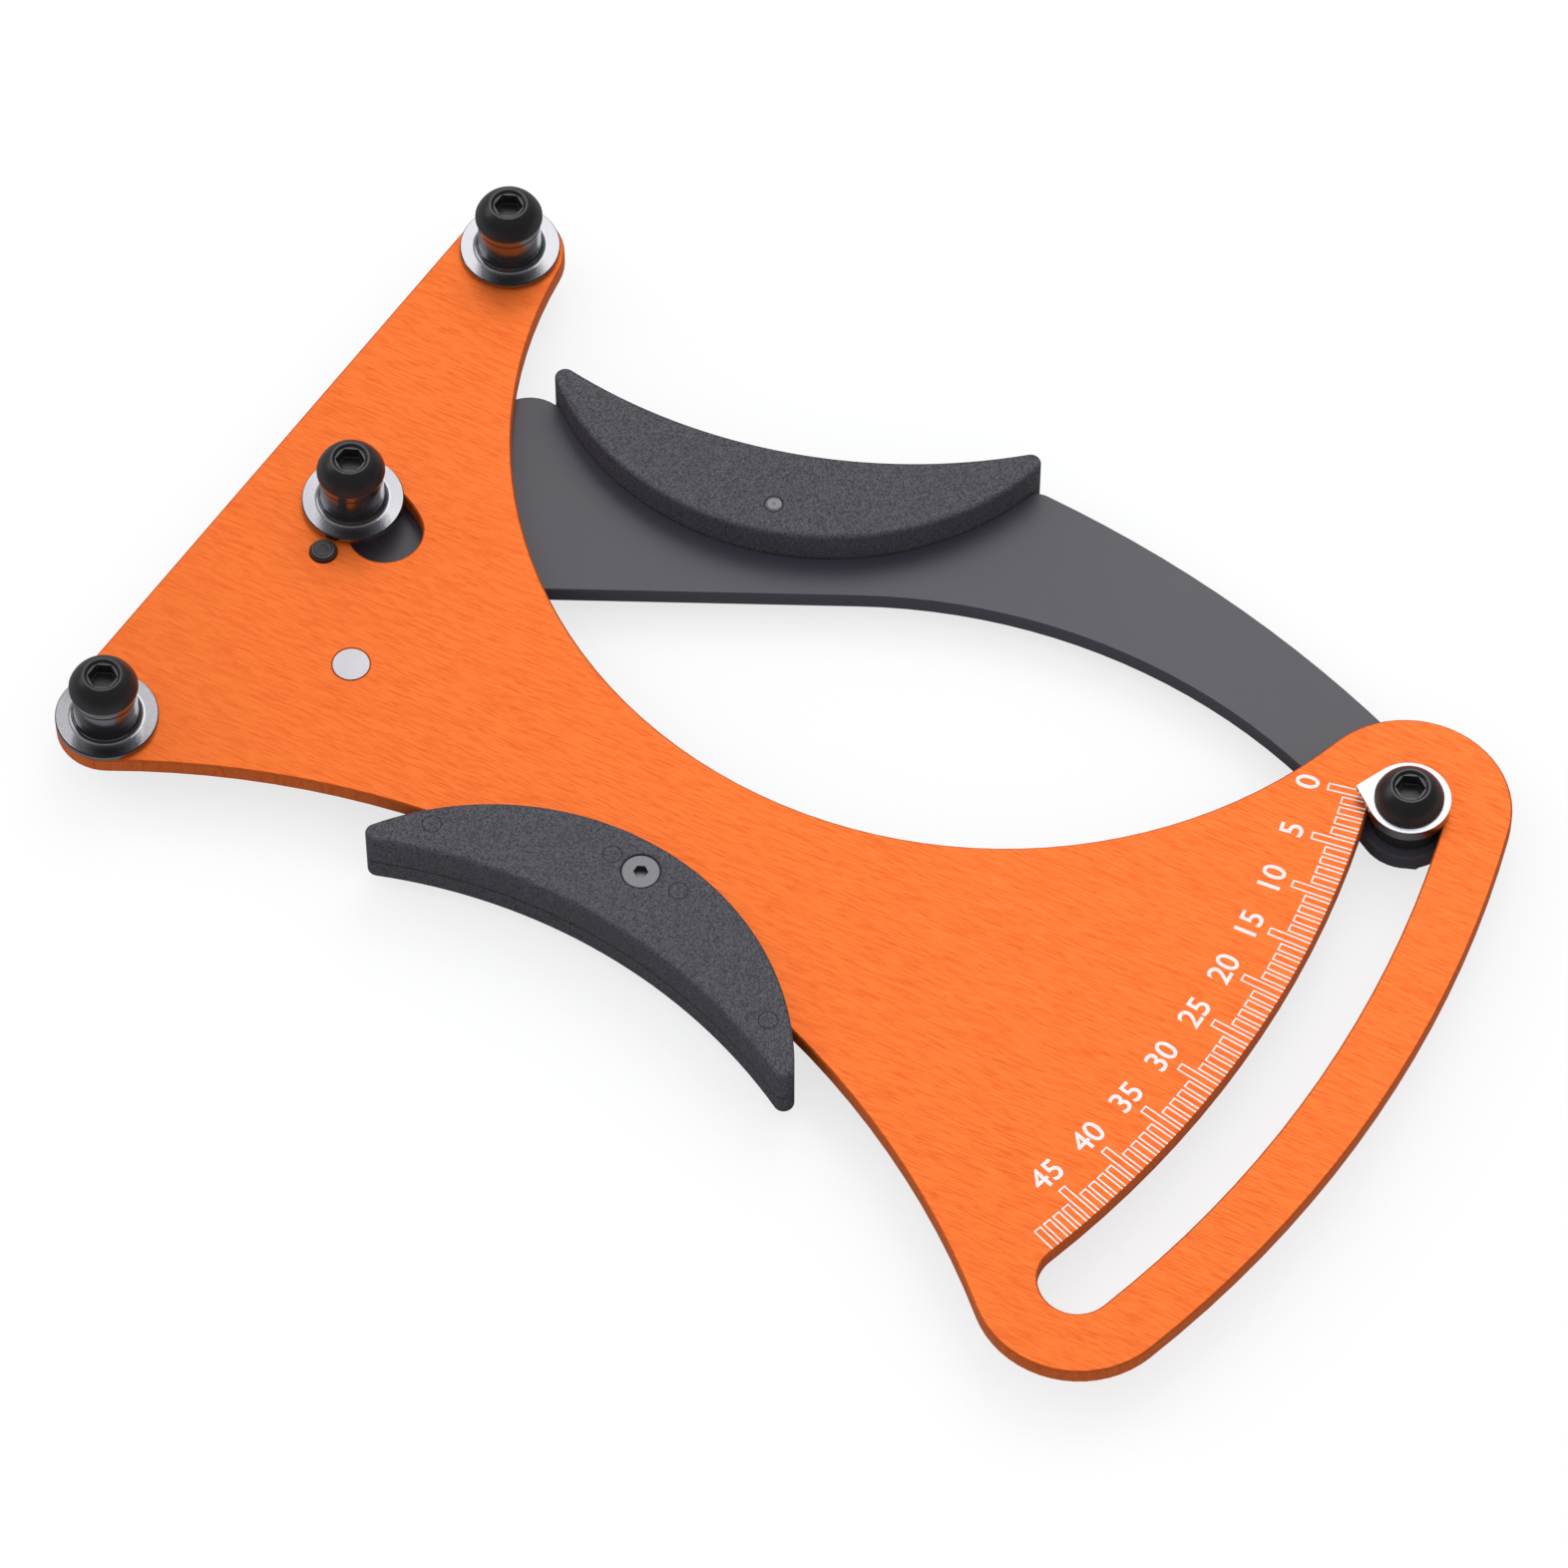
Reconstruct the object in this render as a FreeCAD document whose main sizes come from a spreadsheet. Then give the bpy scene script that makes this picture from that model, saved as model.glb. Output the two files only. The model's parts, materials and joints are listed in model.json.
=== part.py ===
import FreeCAD, Part
import math
import os
import Sketcher

from FreeCAD import Placement, Rotation, Vector

# Hand tool that reads the tension of a wheel spoke. A flat scale plate carries two fixed posts, an arm
# behind it turns on a pivot and carries the third post, and squeezing the two grips opens the arm
# against a spring. Lengths are millimetres and angles are degrees. The row's origin is the middle of
# the spoke's seat, +Y runs along the spoke, +X towards the scale and +Z out of the printed face.
# The sizes below are taken from the pivot's axis and the plate's front face.

SIZES = [
    ("plate_thickness", 3.0, "scale plate, sheet thickness"),
    ("plate_edge", 0.25, "small chamfer round the plate"),
    ("post_offset", 9.3, "outer posts, distance left of the pivot"),
    ("post_middle", 10.0, "outer posts, their middle above the pivot"),
    ("post_half_span", 53.0, "outer posts, half the distance between them"),
    ("plate_left_margin", 8.15, "plate, straight side to the outer posts"),
    ("plate_corner", 8.5, "plate, round about the upper post"),
    ("plate_low_corner", 8.15, "plate, round about the lower post"),
    ("top_corner_drop", 0.5073, "plate, centre of the upper round below the upper post"),
    ("low_corner_rise", 0.4444, "plate, centre of the lower round above the lower post"),
    ("window_low", 0.6, "plate, lowest point of the window arc above the pivot"),
    ("belly_top", -26.07, "plate, highest point of the lower arc"),
    ("belly_radius", 137.0, "plate, lower arc"),
    ("slot_radius", 170.5, "scale slot, centreline radius"),
    ("slot_half_width", 5.75, "scale slot, half width"),
    ("slot_start", 18.33, "scale slot, angle of the upper end"),
    ("slot_end", -14.48, "scale slot, angle of the lower end"),
    ("rim_margin", 15.6, "plate, rim outside the slot centreline"),
    ("kidney_half_width", 5.78, "middle post's slot, half width"),
    ("kidney_start", 56.8, "middle post's slot, angle of the far end"),
    ("kidney_end", 103.0, "middle post's slot, angle of the near end"),
    ("rivet_x", 15.55, "spring anchor rivet"),
    ("rivet_y", -14.46, "spring anchor rivet"),
    ("rivet_radius", 2.8, "spring anchor rivet"),
    ("arm_thickness", 3.0, "lever arm, sheet thickness"),
    ("arm_gap", 0.3, "gap between plate and arm"),
    ("arm_edge", 0.2, "small chamfer round the arm"),
    ("arm_end", 7.3, "arm, round about the pointer screw"),
    ("arm_low_angle", 32.58, "arm, direction of the straight lower edge"),
    ("arm_low_offset", 3.89, "arm, lower edge's distance below the pivot"),
    ("arm_low_radius", 91.92, "arm, concave lower arc"),
    ("arm_top_radius", 197.4, "arm, upper arc"),
    ("arm_top_aside", 9.849, "arm, end of the upper arc left of the pointer screw"),
    ("arm_top_rise", 11.7206, "arm, end of the upper arc above the pointer screw"),
    ("arm_shoulder", 3.0, "arm, round beside the grip"),
    ("arm_shoulder_aside", 38.8897, "arm, centre of that round from the grip's middle"),
    ("arm_corner", 6.3, "arm, round of the upper left corner"),
    ("arm_corner_x", 11.6, "arm, centre of that round"),
    ("arm_pivot_boss", 8.5, "arm, round about the pivot"),
    ("arm_post_boss", 8.0, "arm, round about the middle post"),
    ("arm_blend", 6.0, "arm, hollow below the pivot"),
    ("tail_half_width", 3.4, "arm's tail to the spring stud"),
    ("tail_blend", 2.0, "hollows where the tail leaves the pivot boss"),
    ("stud_reach", 18.0, "spring stud, distance from the pivot"),
    ("stud_angle", -117.9, "spring stud, direction from the pivot"),
    ("middle_post_radius", 10.13, "middle post, distance from the pivot"),
    ("middle_post_angle", 99.0, "middle post, direction from the pivot"),
    ("fit_clearance", 0.05, "radial clearance of the running fits"),
    ("hang_clearance", 0.3, "middle post's flange above the plate"),
    ("screw_radius", 3.0, "post screws, shank"),
    ("screw_tip_chamfer", 0.6, "post screws, chamfer of the tip"),
    ("head_radius", 5.25, "button head"),
    ("head_height", 3.4, "button head"),
    ("head_land", 0.45, "button head, straight edge"),
    ("head_flat_radius", 3.0, "button head, flat top"),
    ("socket_lip_radius", 2.75, "hexagon socket, lead in"),
    ("socket_flats", 4.0, "hexagon socket, across flats"),
    ("socket_depth", 2.2, "hexagon socket, depth"),
    ("head_seat", 8.4, "post screws, underside of the heads above the plate"),
    ("thread_past_nut", 0.3, "screw end past its nut"),
    ("nut_flats", 10.0, "nuts, across flats"),
    ("nut_height", 3.2, "nuts, thickness"),
    ("nut_chamfer_angle", 30.0, "nuts, chamfer of the corners"),
    ("flange_radius", 7.85, "post sleeve, flange"),
    ("flange_height", 1.0, "post sleeve, flange"),
    ("barrel_radius", 4.9, "post sleeve, where the spoke bears"),
    ("barrel_foot_radius", 5.05, "post sleeve, just above the flange"),
    ("barrel_fillet", 0.8, "post sleeve, hollow above the flange"),
    ("barrel_taper", 2.4, "post sleeve, height of the widened foot"),
    ("sleeve_edge", 0.15, "post sleeve, chamfer of the flange"),
    ("lip_height", 1.6, "post sleeve, lip under the head"),
    ("lip_groove", 0.15, "post sleeve, groove below the lip"),
    ("collar_radius", 5.0, "middle post's collar in its slot"),
    ("spoke_radius", 1.0, "spoke of common size, for the origin"),
    ("seat_height", 4.7, "spoke's centre above the plate"),
    ("shoulder_radius", 3.0, "pivot screw, shoulder"),
    ("pivot_thread_radius", 2.0, "pivot screw, thread in the plate"),
    ("pivot_past_plate", 0.7, "pivot screw, end in front of the plate"),
    ("pivot_head_radius", 4.5, "pivot screw, head"),
    ("pivot_head_height", 2.7, "pivot screw, head"),
    ("pivot_edge", 0.3, "pivot screw, chamfers of the head and the tip"),
    ("pivot_socket_flats", 3.0, "pivot screw, hexagon socket"),
    ("pivot_socket_depth", 1.62, "pivot screw, hexagon socket"),
    ("front_washer_radius", 4.3, "thin washer between plate and arm"),
    ("rear_washer_radius", 4.75, "washer behind the arm"),
    ("rear_washer_height", 0.5, "washer behind the arm"),
    ("spacer_gap", 0.1, "slot spacer, clearance to the slot's walls"),
    ("spacer_rise", 0.2, "slot spacer, height in front of the plate"),
    ("pointer_radius", 6.3, "pointer and its washer"),
    ("pointer_height", 1.0, "pointer, sheet thickness"),
    ("pointer_washer_height", 1.0, "washer under the pointer"),
    ("pointer_reach", 8.1, "pointer's tip, distance from its screw's axis"),
    ("pointer_tip_round", 0.35, "pointer's tip, round"),
    ("hook_height", -7.2, "spring hooks, height of their wire"),
    ("neck_radius", 1.5, "stud and rivet, groove for the hook"),
    ("neck_height", 1.3, "stud and rivet, groove for the hook"),
    ("stud_radius", 2.6, "spring stud, shoulders"),
    ("stud_pin_radius", 1.6, "spring stud, pin in the arm"),
    ("stud_cap_height", 0.8, "stud and rivet, cap behind the hook"),
    ("wire_diameter", 0.9, "spring wire"),
    ("coil_radius", 2.05, "spring, middle of the wire"),
    ("coil_turns", 7.5, "spring, turns"),
    ("hook_bend", 1.0, "spring, bend between coil and hook"),
    ("long_hook", 10.0, "spring, hook on the arm's stud to the coil"),
    ("short_hook", 3.6, "spring, coil to the hook on the rivet"),
    ("grip_outer_radius", 45.4, "grips, convex wall"),
    ("grip_inner_radius", 88.0, "grips, concave wall"),
    ("grip_width", 15.3, "grips, width at the middle"),
    ("grip_tip_round", 1.6, "grips, round of the tips"),
    ("grip_edge", 0.5, "grips, rounded edges"),
    ("grip_screw_inset", 5.2, "grips, screw from the convex wall"),
    ("low_grip_aside", 2.6, "lower grip, its middle right of the lower arc's middle"),
    ("low_grip_lap", 9.17, "lower grip, convex wall above the lower arc's highest point"),
    ("low_grip_top", 3.2, "lower grip, height in front of the plate"),
    ("grip_back", 7.0, "grips, depth behind the plate's front"),
    ("high_grip_x", 54.97, "upper grip, outermost point of its convex wall"),
    ("high_grip_y", 39.56, "upper grip, outermost point of its convex wall"),
    ("high_grip_turn", -158.65, "upper grip, turned from the lower one"),
    ("high_grip_top", 2.6, "upper grip, height in front of the plate"),
    ("grip_lap", 3.5, "upper grip, concave wall to the arm's edge"),
    ("seat_clearance", 0.15, "gap round an edge that sits in a grip"),
    ("grip_boss_radius", 3.9, "upper grip, boss through the arm"),
    ("small_screw_radius", 1.5, "grip screws, shank"),
    ("small_head_radius", 2.8, "grip screws, countersunk head"),
    ("small_head_rim", 0.25, "grip screws, straight rim of the head"),
    ("small_socket_flats", 2.0, "grip screws, hexagon socket"),
    ("small_socket_depth", 1.1, "grip screws, hexagon socket"),
    ("small_head_sink", 0.1, "grip screws, below the grip's face"),
    ("small_tip_chamfer", 0.3, "grip screws, chamfer of the tip"),
    ("insert_radius", 2.25, "brass inserts"),
    ("insert_height", 3.0, "brass inserts"),
    ("insert_lead", 0.4, "screw end past its insert"),
]

ORIGIN = Vector(0, 0, 0)
UP = Vector(0, 0, 1)

doc = FreeCAD.newDocument("spoke_tension_meter")
sheet = doc.addObject("Spreadsheet::Sheet", "sizes")
for row, (alias, value, meaning) in enumerate(SIZES, start=1):
    sheet.set("A%d" % row, meaning)
    sheet.set("B%d" % row, str(value))
    sheet.setAlias("B%d" % row, alias)
doc.recompute()
subparts = []


def size(alias):
    return float(sheet.get(alias))


def polar(radius, angle):
    """A point given by its distance and direction from the pivot."""
    turn = math.radians(angle)
    return Vector(radius * math.cos(turn), radius * math.sin(turn), 0)


def toward(start, end, distance):
    """The point at a distance from start on the way to end."""
    return start + (end - start).normalize() * distance


def circles_meet(first, first_radius, second, second_radius, near):
    """Where two circles cross, the crossing that lies nearer to a point."""
    apart = (second - first).Length
    along = (first_radius ** 2 - second_radius ** 2 + apart ** 2) / (2 * apart)
    aside = math.sqrt(first_radius ** 2 - along ** 2)
    direction = (second - first) * (1 / apart)
    across = Vector(-direction.y, direction.x, 0)
    middle = first + direction * along
    return min((middle + across * aside, middle - across * aside), key=lambda p: (p - near).Length)


def touch_point(centre, radius, outside, near):
    """Where a straight line from an outside point touches a circle, on the side nearer to a point."""
    span = (outside - centre).Length
    return circles_meet(centre, radius, outside, math.sqrt(span ** 2 - radius ** 2), near)


def other_leg(first, second, apart):
    """How far two points lie apart across an axis, from their places along it and their distance."""
    return math.sqrt(apart ** 2 - (second - first) ** 2)


def straight(start, end):
    return Part.LineSegment(start, end), None


def bend(centre, start, end, clockwise=False, cell=None):
    """An arc about a centre, with the name of the size that its radius is bound to."""
    first, last = (end, start) if clockwise else (start, end)
    circle = Part.Circle(centre, UP, (start - centre).Length)
    begin = math.atan2(first.y - centre.y, first.x - centre.x)
    finish = math.atan2(last.y - centre.y, last.x - centre.x)
    if finish <= begin:
        finish += 2 * math.pi
    return Part.ArcOfCircle(circle, begin, finish), cell


def new_body(label):
    body = doc.addObject("PartDesign::Body", label)
    body.Label = label
    subparts.append(body)
    return body


def new_sketch(body, name, role="XY_Plane", height=None):
    """A sketch on one of the body's own planes, raised by an expression where one is given."""
    sketch = body.newObject("Sketcher::SketchObject", name)
    plane = next(item for item in body.Origin.OriginFeatures if item.Role == role)
    sketch.AttachmentSupport = (plane, [""])
    sketch.MapMode = "FlatFace"
    if height:
        sketch.setExpression("AttachmentOffset.Base.z", height)
    return sketch


def draw(sketch, outline):
    """Adds a closed outline, joins its pieces end to end and binds the named radii."""
    first = sketch.GeometryCount
    for geometry, cell in outline:
        sketch.addGeometry(geometry, False)
    count = len(outline)
    for step in range(count):
        here = outline[step][0]
        following = outline[(step + 1) % count][0]
        pairs = [(1, 1), (1, 2), (2, 1), (2, 2)]
        ends = {1: "StartPoint", 2: "EndPoint"}
        gap = {}
        for end, begin in pairs:
            gap[end, begin] = (getattr(here, ends[end]) - getattr(following, ends[begin])).Length
        end, begin = min(pairs, key=gap.get)
        joint = Sketcher.Constraint("Coincident", first + step, end, first + (step + 1) % count, begin)
        sketch.addConstraint(joint)
    for step, (geometry, cell) in enumerate(outline):
        if cell:
            index = sketch.addConstraint(Sketcher.Constraint("Radius", first + step, geometry.Radius))
            sketch.setExpression("Constraints[%d]" % index, cell)


def ring(sketch, centre, expression, radius):
    """Adds a circle whose radius is bound to an expression."""
    number = sketch.addGeometry(Part.Circle(centre, UP, radius), False)
    index = sketch.addConstraint(Sketcher.Constraint("Radius", number, radius))
    sketch.setExpression("Constraints[%d]" % index, expression)


def hexagon(sketch, centre, flats, turn=0.0):
    """Adds a hexagon with one flat facing the direction turn."""
    corners = []
    for step in range(6):
        corners.append(centre + polar(flats / math.sqrt(3), turn + 60 * (step + 0.5)))
    draw(sketch, [straight(corners[step], corners[(step + 1) % 6]) for step in range(6)])


def pad(body, sketch, name, length, downward=False):
    feature = body.newObject("PartDesign::Pad", name)
    feature.Profile = sketch
    feature.Reversed = downward
    feature.setExpression("Length", length)
    sketch.Visibility = False
    doc.recompute()
    return feature


def pocket(body, sketch, name, depth=None, upward=False):
    """Cuts a sketch out of the body, through all of it where no depth is given."""
    before = body.Shape.Volume
    feature = body.newObject("PartDesign::Pocket", name)
    feature.Profile = sketch
    feature.Reversed = upward
    if depth:
        feature.setExpression("Length", depth)
    else:
        feature.Type = "ThroughAll"
        feature.Midplane = True
    doc.recompute()
    if feature.Shape.isNull() or feature.Shape.Volume >= before:
        raise RuntimeError("%s of %s cuts nothing" % (name, body.Label))
    return feature


def revolve(body, sketch, name="turning"):
    feature = body.newObject("PartDesign::Revolution", name)
    feature.Profile = sketch
    feature.ReferenceAxis = (sketch, ["V_Axis"])
    feature.Angle = 360
    doc.recompute()
    return feature


def flat_faces(feature, height):
    """Names of the level faces of a feature at a height."""
    names = []
    for number, face in enumerate(feature.Shape.Faces, start=1):
        level = face.BoundBox.ZLength < 1e-6 and abs(face.BoundBox.ZMin - height) < 1e-6
        if level:
            names.append("Face%d" % number)
    return names


def break_edges(body, heights, kind, expression):
    """Rounds or chamfers every edge of the body's level faces at some heights."""
    base = body.Tip
    feature = body.newObject("PartDesign::" + kind, kind.lower())
    names = [name for height in heights for name in flat_faces(base, height)]
    feature.Base = (base, names)
    feature.setExpression("Radius" if kind == "Fillet" else "Size", expression)
    doc.recompute()
    return feature


def place(item, x=0.0, y=0.0, z=0.0, turn=Rotation()):
    """Puts a sub-part that is drawn about its own axis where it belongs, in the row's frame."""
    spoke_x = size("post_offset") - size("barrel_radius") - size("spoke_radius")
    pivot_seat = Vector(spoke_x, -size("post_middle"), -size("seat_height"))
    item.Placement = Placement(pivot_seat + Vector(x, y, z), turn)


def profile(corners):
    """A closed run of straight lines through radius and height pairs."""
    points = [Vector(radius, height, 0) for radius, height in corners]
    return [straight(points[step], points[(step + 1) % len(points)]) for step in range(len(points))]


# Places that several sub-parts share, all from the sizes above.

UPPER_POST = Vector(-size("post_offset"), size("post_middle") + size("post_half_span"), 0)
LOWER_POST = Vector(-size("post_offset"), size("post_middle") - size("post_half_span"), 0)
MIDDLE_POST = polar(size("middle_post_radius"), size("middle_post_angle"))
POINTER_AXIS = polar(size("slot_radius"), size("slot_start"))
SLOT_FOOT = polar(size("slot_radius"), size("slot_end"))
RIVET = Vector(size("rivet_x"), size("rivet_y"), 0)
STUD = polar(size("stud_reach"), size("stud_angle"))
GRIP_SCREW = Vector(0, -size("grip_screw_inset"), 0)
PLATE_BACK = -size("plate_thickness")
ARM_FRONT = PLATE_BACK - size("arm_gap")
ARM_BACK = ARM_FRONT - size("arm_thickness")
BORE = size("screw_radius") + size("fit_clearance")
LEFT_SIDE = -size("post_offset") - size("plate_left_margin")
LOW_CORNER = Vector(LEFT_SIDE + size("plate_low_corner"), LOWER_POST.y + size("low_corner_rise"), 0)
BELLY_Y = size("belly_top") - size("belly_radius")
BELLY_X = LOW_CORNER.x + other_leg(BELLY_Y, LOW_CORNER.y, size("belly_radius") + size("plate_low_corner"))
BELLY = Vector(BELLY_X, BELLY_Y, 0)
LOW_GRIP_SEAT = Vector(BELLY.x + size("low_grip_aside"), size("belly_top") + size("low_grip_lap"), 0)
LOW_GRIP = Placement(LOW_GRIP_SEAT, Rotation())
HIGH_GRIP_SEAT = Vector(size("high_grip_x"), size("high_grip_y"), 0)
HIGH_GRIP = Placement(HIGH_GRIP_SEAT, Rotation(UP, size("high_grip_turn")))
SMALL_BORE = size("small_screw_radius") + size("fit_clearance")


def curved_slot(radius, half_width, start, end):
    """A slot of constant width bent about the pivot, from one angle down to another."""
    outer, inner = radius + half_width, radius - half_width
    return [
        bend(ORIGIN, polar(outer, end), polar(outer, start)),
        bend(polar(radius, start), polar(outer, start), polar(inner, start)),
        bend(ORIGIN, polar(inner, start), polar(inner, end), clockwise=True),
        bend(polar(radius, end), polar(inner, end), polar(outer, end)),
    ]


def cradle_centre(first, first_radius, second, second_radius, level):
    """Centre of the arc that touches a level line and two rounds above it, one at each side."""
    first_rise, second_rise = first.y - level, second.y - level
    first_sum, second_sum = first_radius + first_rise, second_radius + second_rise
    second_gap = second_radius - second_rise
    apart = second.x - first.x
    spare = apart ** 2 - first_sum * (first_radius - first_rise - second_gap)
    aside = spare / (apart + math.sqrt(apart ** 2 + (first_sum / second_sum - 1) * spare))
    radius = (aside ** 2 / second_sum - second_gap) / 2
    return Vector(second.x - aside, level + radius, 0)


def plate_outline():
    """The plate's outline, from the lower post along the belly, the rim, the nose and the window."""
    top, low, margin = size("plate_corner"), size("plate_low_corner"), size("rim_margin")
    nose = POINTER_AXIS
    top_centre = Vector(LEFT_SIDE + top, UPPER_POST.y - size("top_corner_drop"), 0)
    window = cradle_centre(top_centre, top, nose, margin, size("window_low"))
    rim_radius = size("slot_radius") + margin
    foot = circles_meet(ORIGIN, size("slot_radius"), BELLY, size("belly_radius") + margin, SLOT_FOOT)
    low_left = Vector(LEFT_SIDE, LOW_CORNER.y, 0)
    low_right = toward(LOW_CORNER, BELLY, low)
    foot_left = toward(foot, BELLY, margin)
    foot_right = toward(ORIGIN, foot, rim_radius)
    nose_right = toward(ORIGIN, nose, rim_radius)
    nose_left = toward(nose, window, margin)
    top_right = toward(top_centre, window, top)
    top_left = Vector(LEFT_SIDE, top_centre.y, 0)
    return [
        bend(LOW_CORNER, low_left, low_right, cell="sizes.plate_low_corner"),
        bend(BELLY, low_right, foot_left, clockwise=True, cell="sizes.belly_radius"),
        bend(foot, foot_left, foot_right, cell="sizes.rim_margin"),
        bend(ORIGIN, foot_right, nose_right),
        bend(nose, nose_right, nose_left, cell="sizes.rim_margin"),
        bend(window, nose_left, top_right, clockwise=True),
        bend(top_centre, top_right, top_left, cell="sizes.plate_corner"),
        straight(top_left, low_left),
    ]


def make_plate():
    """The scale plate is sheet aluminium with two curved slots and five holes."""
    body = new_body("scale_plate")
    blank = new_sketch(body, "plate_blank")
    draw(blank, plate_outline())
    pad(body, blank, "plate_sheet", "sizes.plate_thickness", downward=True)
    slots = new_sketch(body, "plate_slots")
    scale_reach, scale_half = size("slot_radius"), size("slot_half_width")
    draw(slots, curved_slot(scale_reach, scale_half, size("slot_start"), size("slot_end")))
    kidney_reach, kidney_half = size("middle_post_radius"), size("kidney_half_width")
    draw(slots, curved_slot(kidney_reach, kidney_half, size("kidney_end"), size("kidney_start")))
    pocket(body, slots, "plate_slot_cuts")
    holes = new_sketch(body, "plate_holes")
    for post in (UPPER_POST, LOWER_POST):
        ring(holes, post, "sizes.screw_radius + sizes.fit_clearance", BORE)
    ring(holes, ORIGIN, "sizes.pivot_thread_radius", size("pivot_thread_radius"))
    ring(holes, RIVET, "sizes.rivet_radius", size("rivet_radius"))
    grip_hole = LOW_GRIP.multVec(GRIP_SCREW)
    ring(holes, grip_hole, "sizes.small_screw_radius + sizes.fit_clearance", SMALL_BORE)
    pocket(body, holes, "plate_hole_cuts")
    break_edges(body, (0.0, PLATE_BACK), "Chamfer", "sizes.plate_edge")
    place(body)


def outer_tangent(first, first_radius, second, second_radius):
    """The straight edge that touches two rounds on the arm's left-hand side, from first to second."""
    span = second - first
    turn = math.atan2(span.y, span.x)
    lean = math.asin((first_radius - second_radius) / span.Length)
    normal = Vector(math.cos(turn - math.pi / 2 + lean), math.sin(turn - math.pi / 2 + lean), 0)
    return first + normal * first_radius, second + normal * second_radius


def arm_outline():
    """The arm's outline, from the pivot along the lower edge, round the end and back over the top."""
    low_turn = size("arm_low_angle")
    along = polar(1.0, low_turn)
    below = polar(1.0, low_turn - 90)
    end, end_radius = POINTER_AXIS, size("arm_end")
    low_radius, low_offset = size("arm_low_radius"), size("arm_low_offset")
    drop = low_offset + low_radius
    past = math.sqrt((low_radius + end_radius) ** 2 - (end.dot(below) - drop) ** 2)
    low_centre = below * drop + along * (end.dot(along) - past)
    top_radius, shoulder = size("arm_top_radius"), size("arm_shoulder")
    top_end = end + Vector(-size("arm_top_aside"), size("arm_top_rise"), 0)
    grip_centre = HIGH_GRIP.multVec(Vector(0, -size("grip_width") - size("grip_inner_radius"), 0))
    hollow = size("grip_inner_radius") + size("grip_lap")
    aside = size("arm_shoulder_aside")
    below_grip = size("grip_width") + size("grip_inner_radius")
    shoulder_rise = other_leg(0, aside, hollow + shoulder) - below_grip
    shoulder_centre = HIGH_GRIP.multVec(Vector(-aside, shoulder_rise, 0))
    top_centre = circles_meet(shoulder_centre, top_radius - shoulder, top_end, top_radius, ORIGIN)
    corner = size("arm_corner")
    corner_drop = other_leg(grip_centre.x, size("arm_corner_x"), hollow + corner)
    corner_centre = Vector(size("arm_corner_x"), grip_centre.y - corner_drop, 0)
    post_boss, pivot_boss = size("arm_post_boss"), size("arm_pivot_boss")
    half, blend = size("tail_half_width"), size("tail_blend")
    tail = Vector(STUD).normalize()
    across = Vector(tail.y, -tail.x, 0)
    leave = math.sqrt((pivot_boss + blend) ** 2 - (half + blend) ** 2)
    blend_left = tail * leave + across * (half + blend)
    blend_right = tail * leave - across * (half + blend)
    neck_left, neck_right = tail * leave + across * half, tail * leave - across * half
    hollow_drop = low_offset + size("arm_blend")
    hollow_along = math.sqrt((pivot_boss + size("arm_blend")) ** 2 - hollow_drop ** 2)
    hollow_centre = below * hollow_drop + along * hollow_along
    low_start = hollow_centre - below * size("arm_blend")
    low_end = low_centre - below * low_radius
    end_start = toward(end, low_centre, end_radius)
    end_finish = touch_point(end, end_radius, top_end, end + Vector(0, end_radius, 0))
    shoulder_start = shoulder_centre + (shoulder_centre - top_centre).normalize() * shoulder
    shoulder_finish = toward(shoulder_centre, grip_centre, shoulder)
    corner_start = toward(corner_centre, grip_centre, corner)
    left_far = outer_tangent(corner_centre, corner, MIDDLE_POST, post_boss)
    left_near = outer_tangent(MIDDLE_POST, post_boss, ORIGIN, pivot_boss)
    tail_left = toward(ORIGIN, blend_left, pivot_boss)
    tail_right = toward(ORIGIN, blend_right, pivot_boss)
    boss_end = toward(ORIGIN, hollow_centre, pivot_boss)
    return [
        straight(low_start, low_end),
        bend(low_centre, low_end, end_start, clockwise=True, cell="sizes.arm_low_radius"),
        bend(end, end_start, end_finish, cell="sizes.arm_end"),
        straight(end_finish, top_end),
        bend(top_centre, top_end, shoulder_start, cell="sizes.arm_top_radius"),
        bend(shoulder_centre, shoulder_start, shoulder_finish, cell="sizes.arm_shoulder"),
        bend(grip_centre, shoulder_finish, corner_start, clockwise=True),
        bend(corner_centre, corner_start, left_far[0], cell="sizes.arm_corner"),
        straight(*left_far),
        bend(MIDDLE_POST, left_far[1], left_near[0], cell="sizes.arm_post_boss"),
        straight(*left_near),
        bend(ORIGIN, left_near[1], tail_left, cell="sizes.arm_pivot_boss"),
        bend(blend_left, tail_left, neck_left, clockwise=True, cell="sizes.tail_blend"),
        straight(neck_left, STUD + across * half),
        bend(STUD, STUD + across * half, STUD - across * half, cell="sizes.tail_half_width"),
        straight(STUD - across * half, neck_right),
        bend(blend_right, neck_right, tail_right, clockwise=True, cell="sizes.tail_blend"),
        bend(ORIGIN, tail_right, boss_end, cell="sizes.arm_pivot_boss"),
        bend(hollow_centre, boss_end, low_start, clockwise=True, cell="sizes.arm_blend"),
    ]


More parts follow.
